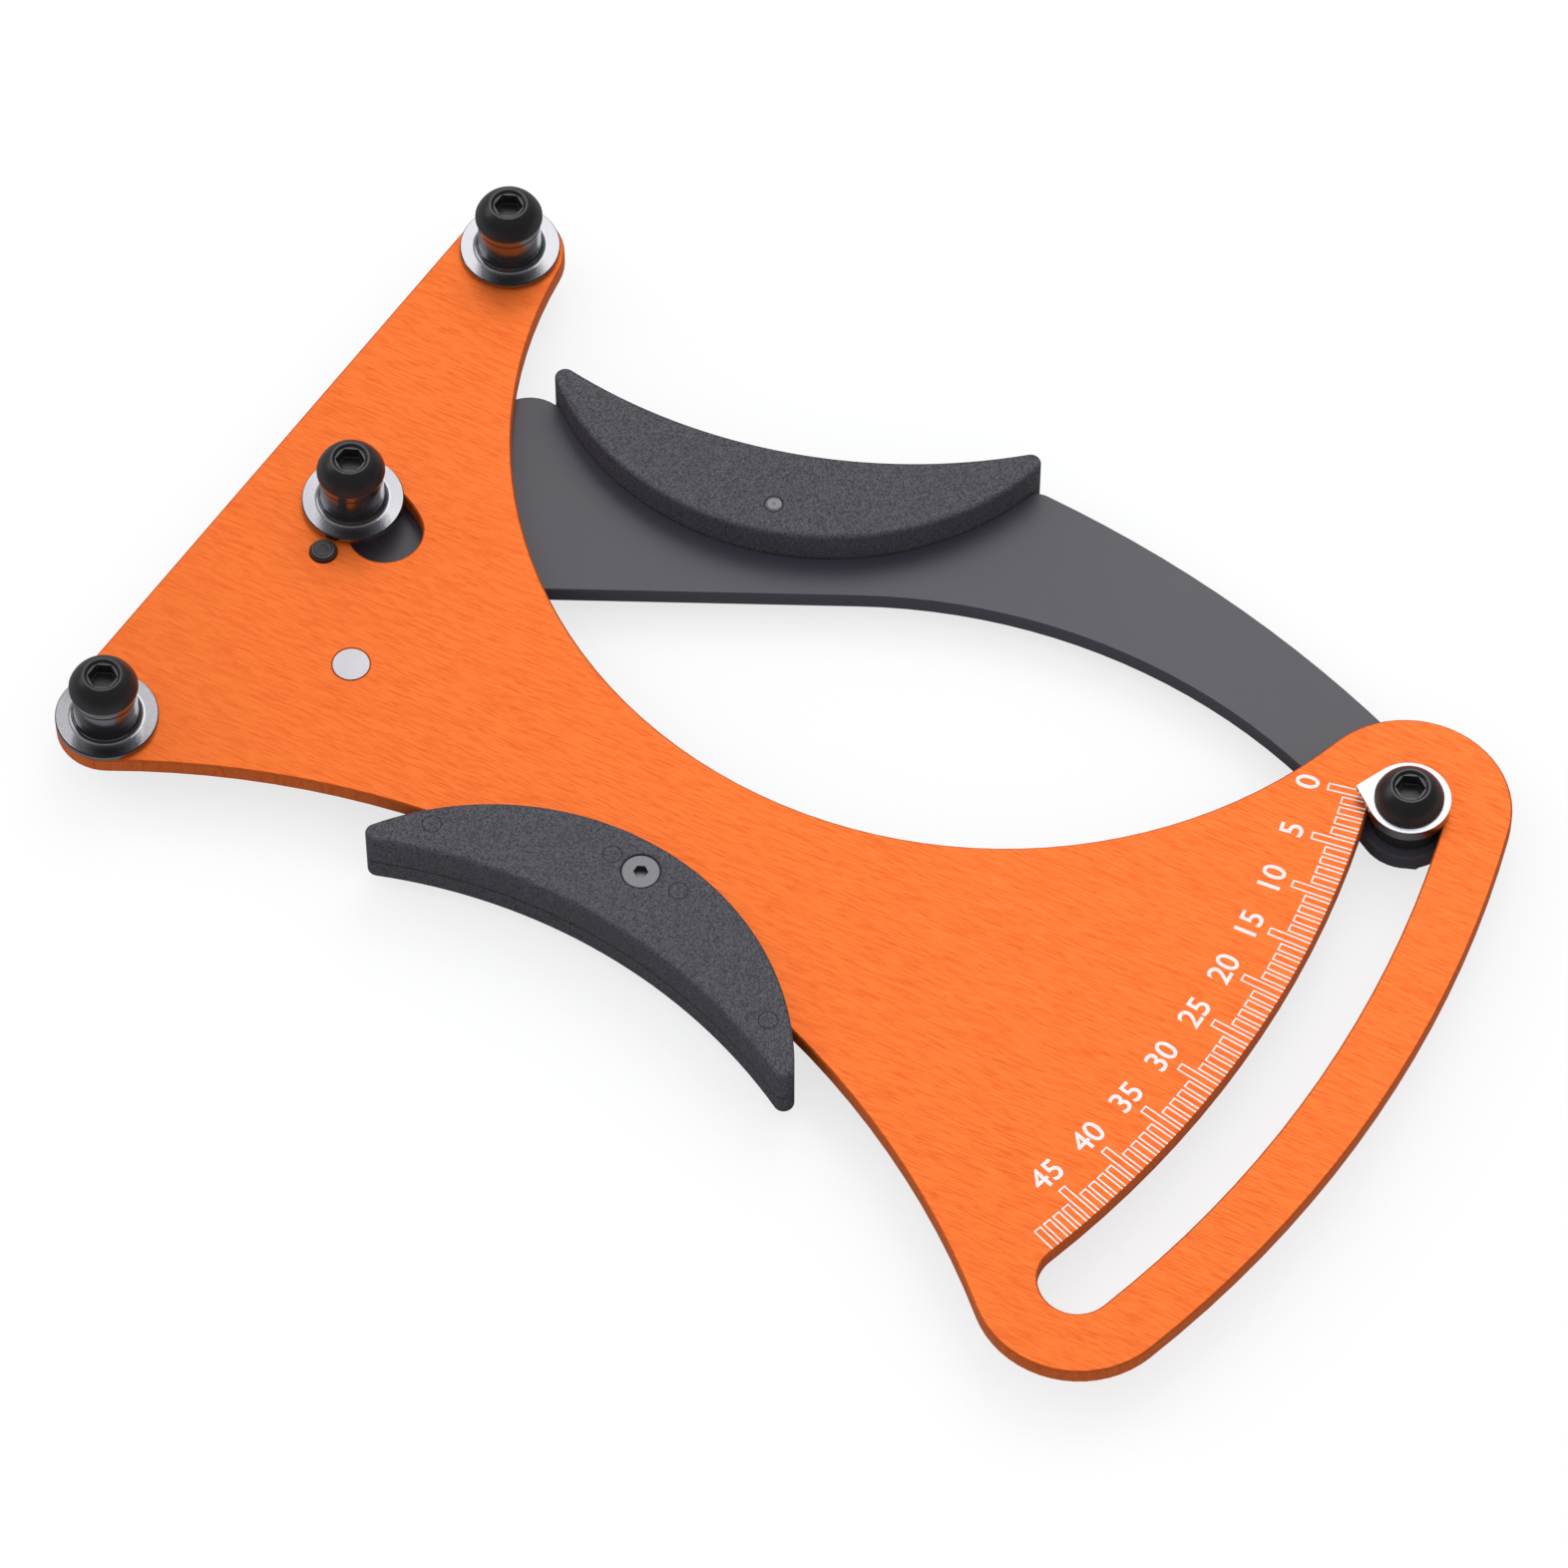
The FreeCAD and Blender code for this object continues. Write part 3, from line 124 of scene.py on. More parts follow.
# The camera sees the paper brighter than the tool does, and its shadows stay soft.
paper_grey = 0.30
paper_glow = 0.72
paper = bpy.data.materials.new("white_paper")
paper.use_nodes = True
tree = paper.node_tree
tree.nodes.clear()
rays = node(tree, "ShaderNodeLightPath")
matt_paper = node(tree, "ShaderNodeBsdfDiffuse")
matt_paper.inputs["Color"].default_value = (paper_grey, paper_grey, paper_grey, 1.0)
glow = node(tree, "ShaderNodeEmission")
glow.inputs["Color"].default_value = (paper_glow, paper_glow, paper_glow, 1.0)
together = node(tree, "ShaderNodeAddShader")
choice = node(tree, "ShaderNodeMixShader")
out = node(tree, "ShaderNodeOutputMaterial")
wire(tree, rays.outputs["Is Camera Ray"], choice.inputs[0])
wire(tree, matt_paper.outputs[0], choice.inputs[1])
wire(tree, matt_paper.outputs[0], together.inputs[0])
wire(tree, glow.outputs[0], together.inputs[1])
wire(tree, together.outputs[0], choice.inputs[2])
from_below = node(tree, "ShaderNodeNewGeometry")
clear = node(tree, "ShaderNodeBsdfTransparent")
one_sided = node(tree, "ShaderNodeMixShader")
wire(tree, from_below.outputs["Backfacing"], one_sided.inputs[0])
wire(tree, choice.outputs[0], one_sided.inputs[1])
wire(tree, clear.outputs[0], one_sided.inputs[2])
wire(tree, one_sided.outputs[0], out.inputs["Surface"])
floor_mesh.materials.append(paper)

world = bpy.data.worlds.new("room")
bpy.context.scene.world = world
world.use_nodes = True
tree = world.node_tree
tree.nodes.clear()
rays = node(tree, "ShaderNodeLightPath")
place_in_room = node(tree, "ShaderNodeTexCoord")
lit_side = Vector((-0.36, 0.54, 0.76))
fade_start = 0.30
fade_end = 0.97
dark_side = 0.03
bright_side = 0.48
facing = node(tree, "ShaderNodeVectorMath", operation="DOT_PRODUCT")
facing.inputs[1].default_value = lit_side
fade = node(tree, "ShaderNodeMapRange", interpolation_type="SMOOTHSTEP",
            in_1=fade_start, in_2=fade_end, in_3=dark_side, in_4=bright_side)
mirrored = node(tree, "ShaderNodeBackground", in_1=1.0)
seen_white = node(tree, "ShaderNodeBackground", in_0=(1, 1, 1, 1), in_1=1.0)
around = node(tree, "ShaderNodeBackground", in_0=(0.95, 0.97, 1.0, 1), in_1=0.86)
first_choice = node(tree, "ShaderNodeMixShader")
second_choice = node(tree, "ShaderNodeMixShader")
not_diffuse = node(tree, "ShaderNodeMath", operation="MAXIMUM")
out = node(tree, "ShaderNodeOutputWorld")
wire(tree, place_in_room.outputs["Generated"], facing.inputs[0])
wire(tree, facing.outputs["Value"], fade.inputs[0])
wire(tree, fade.outputs[0], mirrored.inputs[0])
wire(tree, rays.outputs["Is Glossy Ray"], not_diffuse.inputs[0])
wire(tree, rays.outputs["Is Transmission Ray"], not_diffuse.inputs[1])
wire(tree, not_diffuse.outputs[0], first_choice.inputs[0])
wire(tree, around.outputs[0], first_choice.inputs[1])
wire(tree, mirrored.outputs[0], first_choice.inputs[2])
wire(tree, rays.outputs["Is Camera Ray"], second_choice.inputs[0])
wire(tree, first_choice.outputs[0], second_choice.inputs[1])
wire(tree, seen_white.outputs[0], second_choice.inputs[2])
wire(tree, second_choice.outputs[0], out.inputs["Surface"])


def soft_lamp(name, place, side, power, turn, colour):
    """A square soft lamp at a place, facing the tool and turned about its own axis."""
    lamp_data = bpy.data.lights.new(name, "AREA")
    lamp_data.size = side
    lamp_data.energy = power
    lamp_data.color = colour
    lamp = bpy.data.objects.new(name, lamp_data)
    lamp.location = place
    lamp.rotation_mode = "QUATERNION"
    lamp.rotation_quaternion = (aim - place).to_track_quat("-Z", "Y") @ Quaternion((0, 0, 1), turn)
    bpy.context.scene.collection.objects.link(lamp)


sight = (aim - stand).normalized()
mirror_way = Vector((sight.x, sight.y, -sight.z))
picture_right = sight.cross(Vector((0, 0, 1))).normalized()
picture_up = picture_right.cross(sight)
bright_corner = (picture_right + picture_up).normalized()
lamp_distance = 1.3
lamp_shift = 0.44
lamp_place = aim + mirror_way * lamp_distance + bright_corner * lamp_shift
soft_lamp("overhead_softbox", lamp_place, side=1.0, power=4.6, turn=math.radians(45),
          colour=(1.0, 0.985, 0.98))
side_way = Vector((-0.9, -0.2, 0.55)).normalized()
side_distance = 1.4
soft_lamp("side_softbox", aim + side_way * side_distance, side=0.8, power=2.0, turn=0.0,
          colour=(0.97, 0.985, 1.0))

# Scale plate
# The flat plate is sheet aluminium, brushed along its length, cut, lightly chamfered and anodised
# orange. The dye sits deeper in the grain, and the cut edges are painted darker, a painted shade.


def shader_group(name, inputs, outputs):
    """A shader node group with named sockets, and its two end nodes."""
    group = bpy.data.node_groups.new(name, "ShaderNodeTree")
    for title, kind, value in inputs:
        socket = group.interface.new_socket(title, in_out="INPUT", socket_type="NodeSocket" + kind)
        if value is not None:
            socket.default_value = value
    for title, kind in outputs:
        group.interface.new_socket(title, in_out="OUTPUT", socket_type="NodeSocket" + kind)
    return group, group.nodes.new("NodeGroupInput"), group.nodes.new("NodeGroupOutput")


def use_group(tree, group, **values):
    """Places a group in a material with its own values, where an underscore stands for a space."""
    made = tree.nodes.new("ShaderNodeGroup")
    made.node_tree = group
    for title, value in values.items():
        made.inputs[title.replace("_", " ")].default_value = value
    return made


def new_finish(name, base, roughness, metallic=0.0, specular=0.5):
    """A material with one Principled shader, and the nodes that most finishes start from."""
    material = bpy.data.materials.new(name)
    material.use_nodes = True
    tree = material.node_tree
    shader = tree.nodes["Principled BSDF"]
    shader.inputs["Base Color"].default_value = (*base, 1.0)
    shader.inputs["Roughness"].default_value = roughness
    shader.inputs["Metallic"].default_value = metallic
    shader.inputs["Specular IOR Level"].default_value = specular
    here = node(tree, "ShaderNodeTexCoord")
    return material, tree, shader, here.outputs["Object"]


def blend_colours(tree, share, first, second, target=None):
    """Mixes two colours by a share, and sends the result to a socket if one is named."""
    mixed = node(tree, "ShaderNodeMix", data_type="RGBA")
    for place, colour in ((6, first), (7, second)):
        if isinstance(colour, bpy.types.NodeSocket):
            wire(tree, colour, mixed.inputs[place])
        else:
            mixed.inputs[place].default_value = (*colour, 1.0)
    wire(tree, share, mixed.inputs[0])
    if target is not None:
        wire(tree, mixed.outputs[2], target)
    return mixed.outputs[2]


def spread(tree, source, low, high, target=None, start=0.0, end=1.0):
    """Maps a value that runs from start to end onto the range low to high."""
    mapped = node(tree, "ShaderNodeMapRange", in_1=start, in_2=end, in_3=low, in_4=high)
    wire(tree, source, mapped.inputs[0])
    if target is not None:
        wire(tree, mapped.outputs[0], target)
    return mapped.outputs[0]


def bump(tree, source, strength, depth, shader):
    """Lets a height tilt the light on a shader, and returns the node that does so."""
    relief = node(tree, "ShaderNodeBump")
    relief.inputs["Strength"].default_value = strength
    relief.inputs["Distance"].default_value = depth
    wire(tree, source, relief.inputs["Height"])
    wire(tree, relief.outputs[0], shader.inputs["Normal"])
    return relief


def dress(names, material):
    """Gives CAD pieces their finish."""
    for name in names:
        for slot in frame["nodes"][name].material_slots:
            slot.material = material


# Long fine streaks with broken ends, as an abrasive belt leaves them.
brushing, given, result = shader_group(
    "brushed_streaks",
    [("Place", "Vector", None), ("Along", "Float", 330.0), ("Across", "Float", 4600.0),
     ("Turn", "Float", 0.0)],
    [("Streaks", "Float")])
turned = node(brushing, "ShaderNodeVectorRotate", rotation_type="Z_AXIS")
squeezed = node(brushing, "ShaderNodeCombineXYZ")
scaled = node(brushing, "ShaderNodeVectorMath", operation="MULTIPLY")
fine = node(brushing, "ShaderNodeTexNoise")
fine.inputs["Scale"].default_value = 1.0
fine.inputs["Detail"].default_value = 3.0
fine.inputs["Roughness"].default_value = 0.62
wire(brushing, given.outputs["Place"], turned.inputs["Vector"])
wire(brushing, given.outputs["Turn"], turned.inputs["Angle"])
wire(brushing, given.outputs["Along"], squeezed.inputs[0])
wire(brushing, given.outputs["Across"], squeezed.inputs[1])
wire(brushing, given.outputs["Along"], squeezed.inputs[2])
wire(brushing, turned.outputs[0], scaled.inputs[0])
wire(brushing, squeezed.outputs[0], scaled.inputs[1])
wire(brushing, scaled.outputs[0], fine.inputs["Vector"])
wire(brushing, fine.outputs[0], result.inputs["Streaks"])

# Marks the outer edges of a piece, where the finishes below paint a highlight on black parts and a shade on
# the orange plate.
edges, given, result = shader_group(
    "edge_line", [("Reach", "Float", 0.3 * mm), ("Gain", "Float", 6.0)], [("Edge", "Float")])
rounded = node(edges, "ShaderNodeBevel", samples=6)
shape = node(edges, "ShaderNodeNewGeometry")
agree = node(edges, "ShaderNodeVectorMath", operation="DOT_PRODUCT")
differ = node(edges, "ShaderNodeMath", operation="SUBTRACT", in_0=1.0)
raised = node(edges, "ShaderNodeMath", operation="MULTIPLY", use_clamp=True)
wire(edges, given.outputs["Reach"], rounded.inputs["Radius"])
wire(edges, rounded.outputs[0], agree.inputs[0])
wire(edges, shape.outputs["Normal"], agree.inputs[1])
wire(edges, agree.outputs["Value"], differ.inputs[1])
wire(edges, differ.outputs[0], raised.inputs[0])
wire(edges, given.outputs["Gain"], raised.inputs[1])
wire(edges, raised.outputs[0], result.inputs["Edge"])

grain_turn = math.radians(-7.5)
face_orange = (1.0, 0.212, 0.036)
grain_orange = (0.90, 0.142, 0.018)
edge_shade_orange = (0.60, 0.075, 0.012)
anodised, tree, shader, here = new_finish(
    "anodised_orange", face_orange, 0.42, metallic=0.6, specular=0.35)
grain = use_group(tree, brushing, Turn=grain_turn)
# The cut edges are painted a darker orange here, a painted shade on the plate's walls.
painted_edge_mask = use_group(tree, edges, Reach=0.35 * mm, Gain=5.0)
wire(tree, here, grain.inputs["Place"])
streak_share = spread(tree, grain.outputs["Streaks"], 0.0, 1.0, start=0.30, end=0.56)
brushed_colour = blend_colours(tree, streak_share, grain_orange, face_orange)
blend_colours(tree, painted_edge_mask.outputs["Edge"], brushed_colour, edge_shade_orange, shader.inputs["Base Color"])
spread(tree, grain.outputs["Streaks"], 0.46, 0.38, shader.inputs["Roughness"], start=0.35, end=0.65)
bump(tree, grain.outputs["Streaks"], 0.08, 0.04 * mm, shader)
dress(["scale_plate"], anodised)

# Printed scale
# Fifty open boxes are screen printed in white from the slot's edge towards the pivot, every fifth
# one longer and numbered. The numbers stand with their tops towards the pivot.
pivot = Vector(frame["joints"][0]["pos_m"])
print_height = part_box("scale_plate")[1].z
ink_thickness = 0.02 * mm
box_count = 50
boxes_per_number = 5
first_box = math.radians(18.37)
box_step = math.radians(0.6611)
box_half = math.radians(0.205)
line_width = 0.24 * mm
slot_edge = 164.5 * mm
short_foot = 160.5 * mm
long_foot = 158.0 * mm
number_middle = 154.9 * mm
number_size = 5.05 * mm
stroke_gain = 0.06 * mm

white_ink, tree, shader, here = new_finish("white_ink", (0.86, 0.83, 0.81), 0.55)
coverage = use_group(tree, brushing, Turn=grain_turn)
wire(tree, here, coverage.inputs["Place"])
thin = spread(tree, coverage.outputs["Streaks"], 0.0, 1.0, start=0.34, end=0.52)
blend_colours(tree, thin, (0.92, 0.76, 0.69), (0.98, 0.96, 0.94), shader.inputs["Base Color"])
bump(tree, coverage.outputs["Streaks"], 0.25, 0.02 * mm, shader)


def geometry_tree(name, inputs):
    """A geometry node tree with named sizes, its two end nodes and the identifiers of its inputs."""
    made = bpy.data.node_groups.new(name, "GeometryNodeTree")
    made.interface.new_socket("Geometry", in_out="OUTPUT", socket_type="NodeSocketGeometry")
    keys = {}
    for title, kind in inputs:
        socket = made.interface.new_socket(title, in_out="INPUT", socket_type="NodeSocket" + kind)
        keys[title] = socket.identifier
    return made, made.nodes.new("NodeGroupInput"), made.nodes.new("NodeGroupOutput"), keys


def grown(name, made, keys, values):
    """Runs a geometry node tree once with its sizes set and returns the plain mesh object."""
    seed = new_object(name + "_seed", bpy.data.meshes.new(name + "_seed"))
    modifier = seed.modifiers.new(name, "NODES")
    modifier.node_group = made
    for title, value in values.items():
        modifier[keys[title]] = value
    evaluated = seed.evaluated_get(bpy.context.evaluated_depsgraph_get())
    mesh = bpy.data.meshes.new_from_object(evaluated)
    mesh.name = name
    bpy.data.objects.remove(seed)
    return new_object(name, mesh)


def sums(tree, operation, *terms):
    """A math node whose inputs are sockets or plain numbers."""
    made = node(tree, "ShaderNodeMath", operation=operation)
    for place, term in enumerate(terms):
        if isinstance(term, bpy.types.NodeSocket):
            wire(tree, term, made.inputs[place])
        else:
            made.inputs[place].default_value = term
    return made.outputs[0]


comb, given, result, keys = geometry_tree("scale_comb", [
    ("Boxes", "Int"), ("First", "Float"), ("Step", "Float"), ("Half", "Float"), ("Line", "Float"),
    ("Edge", "Float"), ("Short", "Float"), ("Long", "Float"), ("Every", "Float"), ("Ink", "Float"),
    ("Pivot", "Vector"), ("Finish", "Material")])
row = node(comb, "GeometryNodeMeshLine")
wire(comb, given.outputs["Boxes"], row.inputs["Count"])
number = node(comb, "GeometryNodeInputIndex").outputs[0]
turn_so_far = sums(comb, "MULTIPLY", number, given.outputs["Step"])
turn = sums(comb, "SUBTRACT", given.outputs["First"], turn_so_far)
rest = sums(comb, "MODULO", number, given.outputs["Every"])
is_long = sums(comb, "LESS_THAN", rest, 0.5)
extra = sums(comb, "SUBTRACT", given.outputs["Long"], given.outputs["Short"])
foot = sums(comb, "ADD", given.outputs["Short"], sums(comb, "MULTIPLY", is_long, extra))
brick = node(comb, "GeometryNodeMeshCube")
joined = node(comb, "GeometryNodeJoinGeometry")


def ink_strips(reach, angle, length, width):
    """One strip of ink for each box, at a distance and direction from the pivot."""
    spot = node(comb, "ShaderNodeCombineXYZ")
    wire(comb, sums(comb, "MULTIPLY", reach, sums(comb, "COSINE", angle)), spot.inputs[0])
    wire(comb, sums(comb, "MULTIPLY", reach, sums(comb, "SINE", angle)), spot.inputs[1])
    moved = node(comb, "ShaderNodeVectorMath", operation="ADD")
    wire(comb, spot.outputs[0], moved.inputs[0])
    wire(comb, given.outputs["Pivot"], moved.inputs[1])
    put = node(comb, "GeometryNodeSetPosition")
    wire(comb, row.outputs[0], put.inputs["Geometry"])
    wire(comb, moved.outputs[0], put.inputs["Position"])
    aimed = node(comb, "ShaderNodeCombineXYZ")
    wire(comb, angle, aimed.inputs[2])
    extent = node(comb, "ShaderNodeCombineXYZ")
    wire(comb, length, extent.inputs[0])
    wire(comb, width, extent.inputs[1])
    wire(comb, given.outputs["Ink"], extent.inputs[2])
    copies = node(comb, "GeometryNodeInstanceOnPoints")
    wire(comb, put.outputs[0], copies.inputs["Points"])
    wire(comb, brick.outputs[0], copies.inputs["Instance"])
    wire(comb, aimed.outputs[0], copies.inputs["Rotation"])
    wire(comb, extent.outputs[0], copies.inputs["Scale"])
    wire(comb, copies.outputs[0], joined.inputs[0])


side_foot = sums(comb, "ADD", foot, given.outputs["Line"])
side_length = sums(comb, "SUBTRACT", given.outputs["Edge"], side_foot)
side_middle = sums(comb, "ADD", side_foot, sums(comb, "MULTIPLY", side_length, 0.5))
for way in (-1.0, 1.0):
    ink_strips(side_middle, sums(comb, "ADD", turn, sums(comb, "MULTIPLY", given.outputs["Half"], way)),
               side_length, given.outputs["Line"])
cap_middle = sums(comb, "ADD", foot, sums(comb, "MULTIPLY", given.outputs["Line"], 0.5))
cap_chord = sums(comb, "MULTIPLY", foot, sums(comb, "MULTIPLY", given.outputs["Half"], 2.0))
ink_strips(cap_middle, turn, given.outputs["Line"], sums(comb, "ADD", cap_chord, given.outputs["Line"]))
real = node(comb, "GeometryNodeRealizeInstances")
inked = node(comb, "GeometryNodeSetMaterial")
wire(comb, joined.outputs[0], real.inputs[0])
wire(comb, real.outputs[0], inked.inputs[0])
wire(comb, given.outputs["Finish"], inked.inputs["Material"])
wire(comb, inked.outputs[0], result.inputs[0])

print_middle = Vector((pivot.x, pivot.y, print_height + ink_thickness / 2))
scale_boxes = grown("scale_boxes", comb, keys, {
    "Boxes": box_count, "First": first_box, "Step": box_step, "Half": box_half, "Line": line_width,
    "Edge": slot_edge, "Short": short_foot, "Long": long_foot, "Every": float(boxes_per_number),
    "Ink": ink_thickness, "Pivot": print_middle, "Finish": white_ink})
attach(scale_boxes, "plate_side")


def printed_number(text, angle):
    """A number as a thin mesh, upright to someone who looks from the slot towards the pivot."""
    letters = bpy.data.curves.new("number_" + text, "FONT")
    letters.body = text
    letters.size = number_size
    letters.align_x = "CENTER"
    letters.align_y = "CENTER"
    letters.bevel_depth = stroke_gain
    letters.bevel_resolution = 1
    drawn = new_object("number_" + text, letters)
    bpy.context.view_layer.update()
    mesh = bpy.data.meshes.new_from_object(drawn.evaluated_get(bpy.context.evaluated_depsgraph_get()))
    bpy.data.objects.remove(drawn)
    spots = [vertex.co for vertex in mesh.vertices]
    low = Vector([min(spot[way] for spot in spots) for way in range(3)])
    high = Vector([max(spot[way] for spot in spots) for way in range(3)])
    flattened = Matrix.Diagonal((1, 1, ink_thickness / (2 * stroke_gain), 1))
    mesh.transform(flattened @ Matrix.Translation((low + high) / -2))
    seat = print_middle + Vector((math.cos(angle), math.sin(angle), 0)) * number_middle
    mesh.transform(Matrix.Translation(seat) @ Matrix.Rotation(angle + math.pi / 2, 4, "Z"))
    return mesh


def joined_mesh(name, meshes):
    """Several meshes as one."""
    gathered = bmesh.new()
    for mesh in meshes:
        gathered.from_mesh(mesh)
        bpy.data.meshes.remove(mesh)
    mesh = bpy.data.meshes.new(name)
    gathered.to_mesh(mesh)
    gathered.free()
    return mesh


numbers = []
for step in range(0, box_count, boxes_per_number):
    numbers.append(printed_number(str(step), first_box - step * box_step))
scale_numbers = new_object("scale_numbers", joined_mesh("scale_numbers", numbers))
scale_numbers.data.materials.append(white_ink)
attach(scale_numbers, "plate_side")

# Lever arm
# The arm is cut from sheet steel and coated satin black. The coating has the faint ripple of a baked
# enamel, and its edges are painted a lighter dark grey, a painted highlight.
ripple, given, result = shader_group(
    "surface_ripple", [("Place", "Vector", None), ("Coarse", "Float", 900.0), ("Fine", "Float", 6000.0)],
    [("Height", "Float"), ("Patches", "Float")])
swell = node(ripple, "ShaderNodeTexNoise")
swell.inputs["Detail"].default_value = 2.0
specks = node(ripple, "ShaderNodeTexNoise")
specks.inputs["Detail"].default_value = 1.0
patches = node(ripple, "ShaderNodeTexNoise")
patches.inputs["Scale"].default_value = 38.0
patches.inputs["Detail"].default_value = 3.0
height = node(ripple, "ShaderNodeMath", operation="ADD")
wire(ripple, given.outputs["Coarse"], swell.inputs["Scale"])
wire(ripple, given.outputs["Fine"], specks.inputs["Scale"])
for texture in (swell, specks, patches):
    wire(ripple, given.outputs["Place"], texture.inputs["Vector"])
wire(ripple, swell.outputs[0], height.inputs[0])
wire(ripple, specks.outputs[0], height.inputs[1])
wire(ripple, height.outputs[0], result.inputs["Height"])
wire(ripple, patches.outputs[0], result.inputs["Patches"])

coated, tree, shader, here = new_finish("black_coated_steel", (0.044, 0.042, 0.054), 0.42, specular=1.0)
skin = use_group(tree, ripple, Coarse=700.0, Fine=4200.0)
# The edges are painted a lighter grey, a painted highlight.
painted_edge_mask = use_group(tree, edges, Reach=0.3 * mm, Gain=4.0)
wire(tree, here, skin.inputs["Place"])
patchy = blend_colours(tree, skin.outputs["Patches"], (0.040, 0.038, 0.055), (0.050, 0.047, 0.068))
blend_colours(tree, painted_edge_mask.outputs["Edge"], patchy, (0.075, 0.074, 0.080), shader.inputs["Base Color"])
spread(tree, skin.outputs["Patches"], 0.38, 0.47, shader.inputs["Roughness"])
bump(tree, skin.outputs["Height"], 0.10, 0.05 * mm, shader)
dress(["lever_arm"], coated)

# Pivot
# A shoulder screw holds the arm from behind and ends in the plate as a small black disc. A thin nylon
# washer keeps the two sheets apart and a plated one lies under the screw's head.


def lathe_rings(tree, centre, here, pitch):
    """Fine turned rings about an axis that runs along Z through a centre."""
    around = node(tree, "ShaderNodeMapping")
    around.inputs["Location"].default_value = (-centre[0], -centre[1], 0.0)
    rings = node(tree, "ShaderNodeTexWave", wave_type="RINGS", rings_direction="Z")
    rings.inputs["Scale"].default_value = 1.0 / pitch
    rings.inputs["Distortion"].default_value = 0.6
    rings.inputs["Detail"].default_value = 2.0
    wire(tree, here, around.inputs["Vector"])
    wire(tree, around.outputs[0], rings.inputs["Vector"])
    return rings.outputs["Color"]


def middle_of(name):
    """The middle of a CAD piece's box."""
    low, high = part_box(name)
    return (low + high) / 2


def patchy_finish(name, base, roughness, colours, shine=None, metallic=1.0):
    """A finish that drifts between two colours in patches, and between two roughnesses if they are given."""
    material, tree, shader, here = new_finish(name, base, roughness, metallic=metallic)
    skin = use_group(tree, ripple)
    wire(tree, here, skin.inputs["Place"])
    blend_colours(tree, skin.outputs["Patches"], *colours, shader.inputs["Base Color"])
    if shine is not None:
        spread(tree, skin.outputs["Patches"], *shine, shader.inputs["Roughness"])
    return material


oxide, tree, shader, here = new_finish("black_oxide", (0.016, 0.015, 0.016), 0.34, specular=0.75)
skin = use_group(tree, ripple, Coarse=1500.0, Fine=9000.0)
# The edges are painted a lighter grey, a painted highlight.
painted_edge_mask = use_group(tree, edges, Reach=0.22 * mm, Gain=7.0)
wire(tree, here, skin.inputs["Place"])
patchy = blend_colours(tree, skin.outputs["Patches"], (0.010, 0.009, 0.010), (0.024, 0.022, 0.023))
blend_colours(tree, painted_edge_mask.outputs["Edge"], patchy, (0.16, 0.155, 0.16), shader.inputs["Base Color"])
spread(tree, skin.outputs["Patches"], 0.26, 0.42, shader.inputs["Roughness"])
bump(tree, skin.outputs["Height"], 0.12, 0.04 * mm, shader)
black_screws = ["pivot_screw", "post_screw_upper", "post_screw_lower", "post_screw_middle", "pointer_screw"]
dress(black_screws, oxide)


def turned_piece(name, centre, corners, finish):
    """A piece turned about a vertical axis, from radius and height pairs in mm that close its section."""
    facets = 48
    weld = 0.0005 * mm
    section = bmesh.new()
    points = [section.verts.new(centre + Vector((radius, 0, height)) * mm) for radius, height in corners]
    lines = [section.edges.new(pair) for pair in zip(points, points[1:])]
    bmesh.ops.spin(section, geom=points + lines, cent=centre, axis=(0, 0, 1), angle=math.tau, steps=facets)
    bmesh.ops.remove_doubles(section, verts=section.verts, dist=weld)
    bmesh.ops.recalc_face_normals(section, faces=section.faces)
    mesh = bpy.data.meshes.new(name)
    section.to_mesh(mesh)
    section.free()
    mesh.materials.append(finish)
    return new_object(name, mesh)


# The screw's end stands in front of the plate, with a raised rim about a shallow dish.
end_face = Vector((pivot.x, pivot.y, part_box("pivot_screw")[1].z))
rim_section = [(0.95, 0), (1.0, 0.12), (1.3, 0.16), (1.62, 0.1), (1.68, 0), (0.95, 0)]
pivot_rim = turned_piece("pivot_screw_rim", end_face, rim_section, oxide)
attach(pivot_rim, "plate_side")

zinc = patchy_finish("zinc_plate", (0.60, 0.61, 0.63), 0.32,
                     ((0.50, 0.52, 0.55), (0.68, 0.69, 0.70)), shine=(0.24, 0.40))
dress(["pivot_washer_rear", "post_nut_upper", "post_nut_lower", "post_nut_middle", "pointer_nut"], zinc)
nylon = patchy_finish("nylon", (0.78, 0.78, 0.75), 0.5,
                      ((0.74, 0.74, 0.70), (0.82, 0.82, 0.80)), metallic=0.0)
dress(["pivot_washer_front"], nylon)

# Posts
# Three turned and polished steel sleeves, each with a flange and a grooved barrel, are held by button
# head screws. The middle one runs in its own slot on a collar and is fixed to the arm.


def turned_steel(name, piece, base, low_rough, high_rough):
    """Polished steel with fine lathe rings about the axis of a CAD piece."""
    ring_pitch = 0.16 * mm
    furrow_shade = 0.86
    material, tree, shader, here = new_finish(name, base, low_rough, metallic=1.0)
    skin = use_group(tree, ripple)
    wire(tree, here, skin.inputs["Place"])
    rings = lathe_rings(tree, middle_of(piece), here, ring_pitch)
    spread(tree, skin.outputs["Patches"], low_rough, high_rough, shader.inputs["Roughness"],
           start=0.3, end=0.7)
    dim = tuple(furrow_shade * part for part in base)
    blend_colours(tree, rings, dim, base, shader.inputs["Base Color"])
    bump(tree, rings, 0.06, 0.02 * mm, shader)
    return material


for post in ("upper", "lower", "middle"):
    sleeve = "post_sleeve_" + post
    dress([sleeve], turned_steel("polished_" + post, sleeve, (0.47, 0.47, 0.50), 0.10, 0.20))
collar_steel = turned_steel("polished_collar", "middle_post_collar", (0.7, 0.7, 0.72), 0.15, 0.25)
dress(["middle_post_collar"], collar_steel)

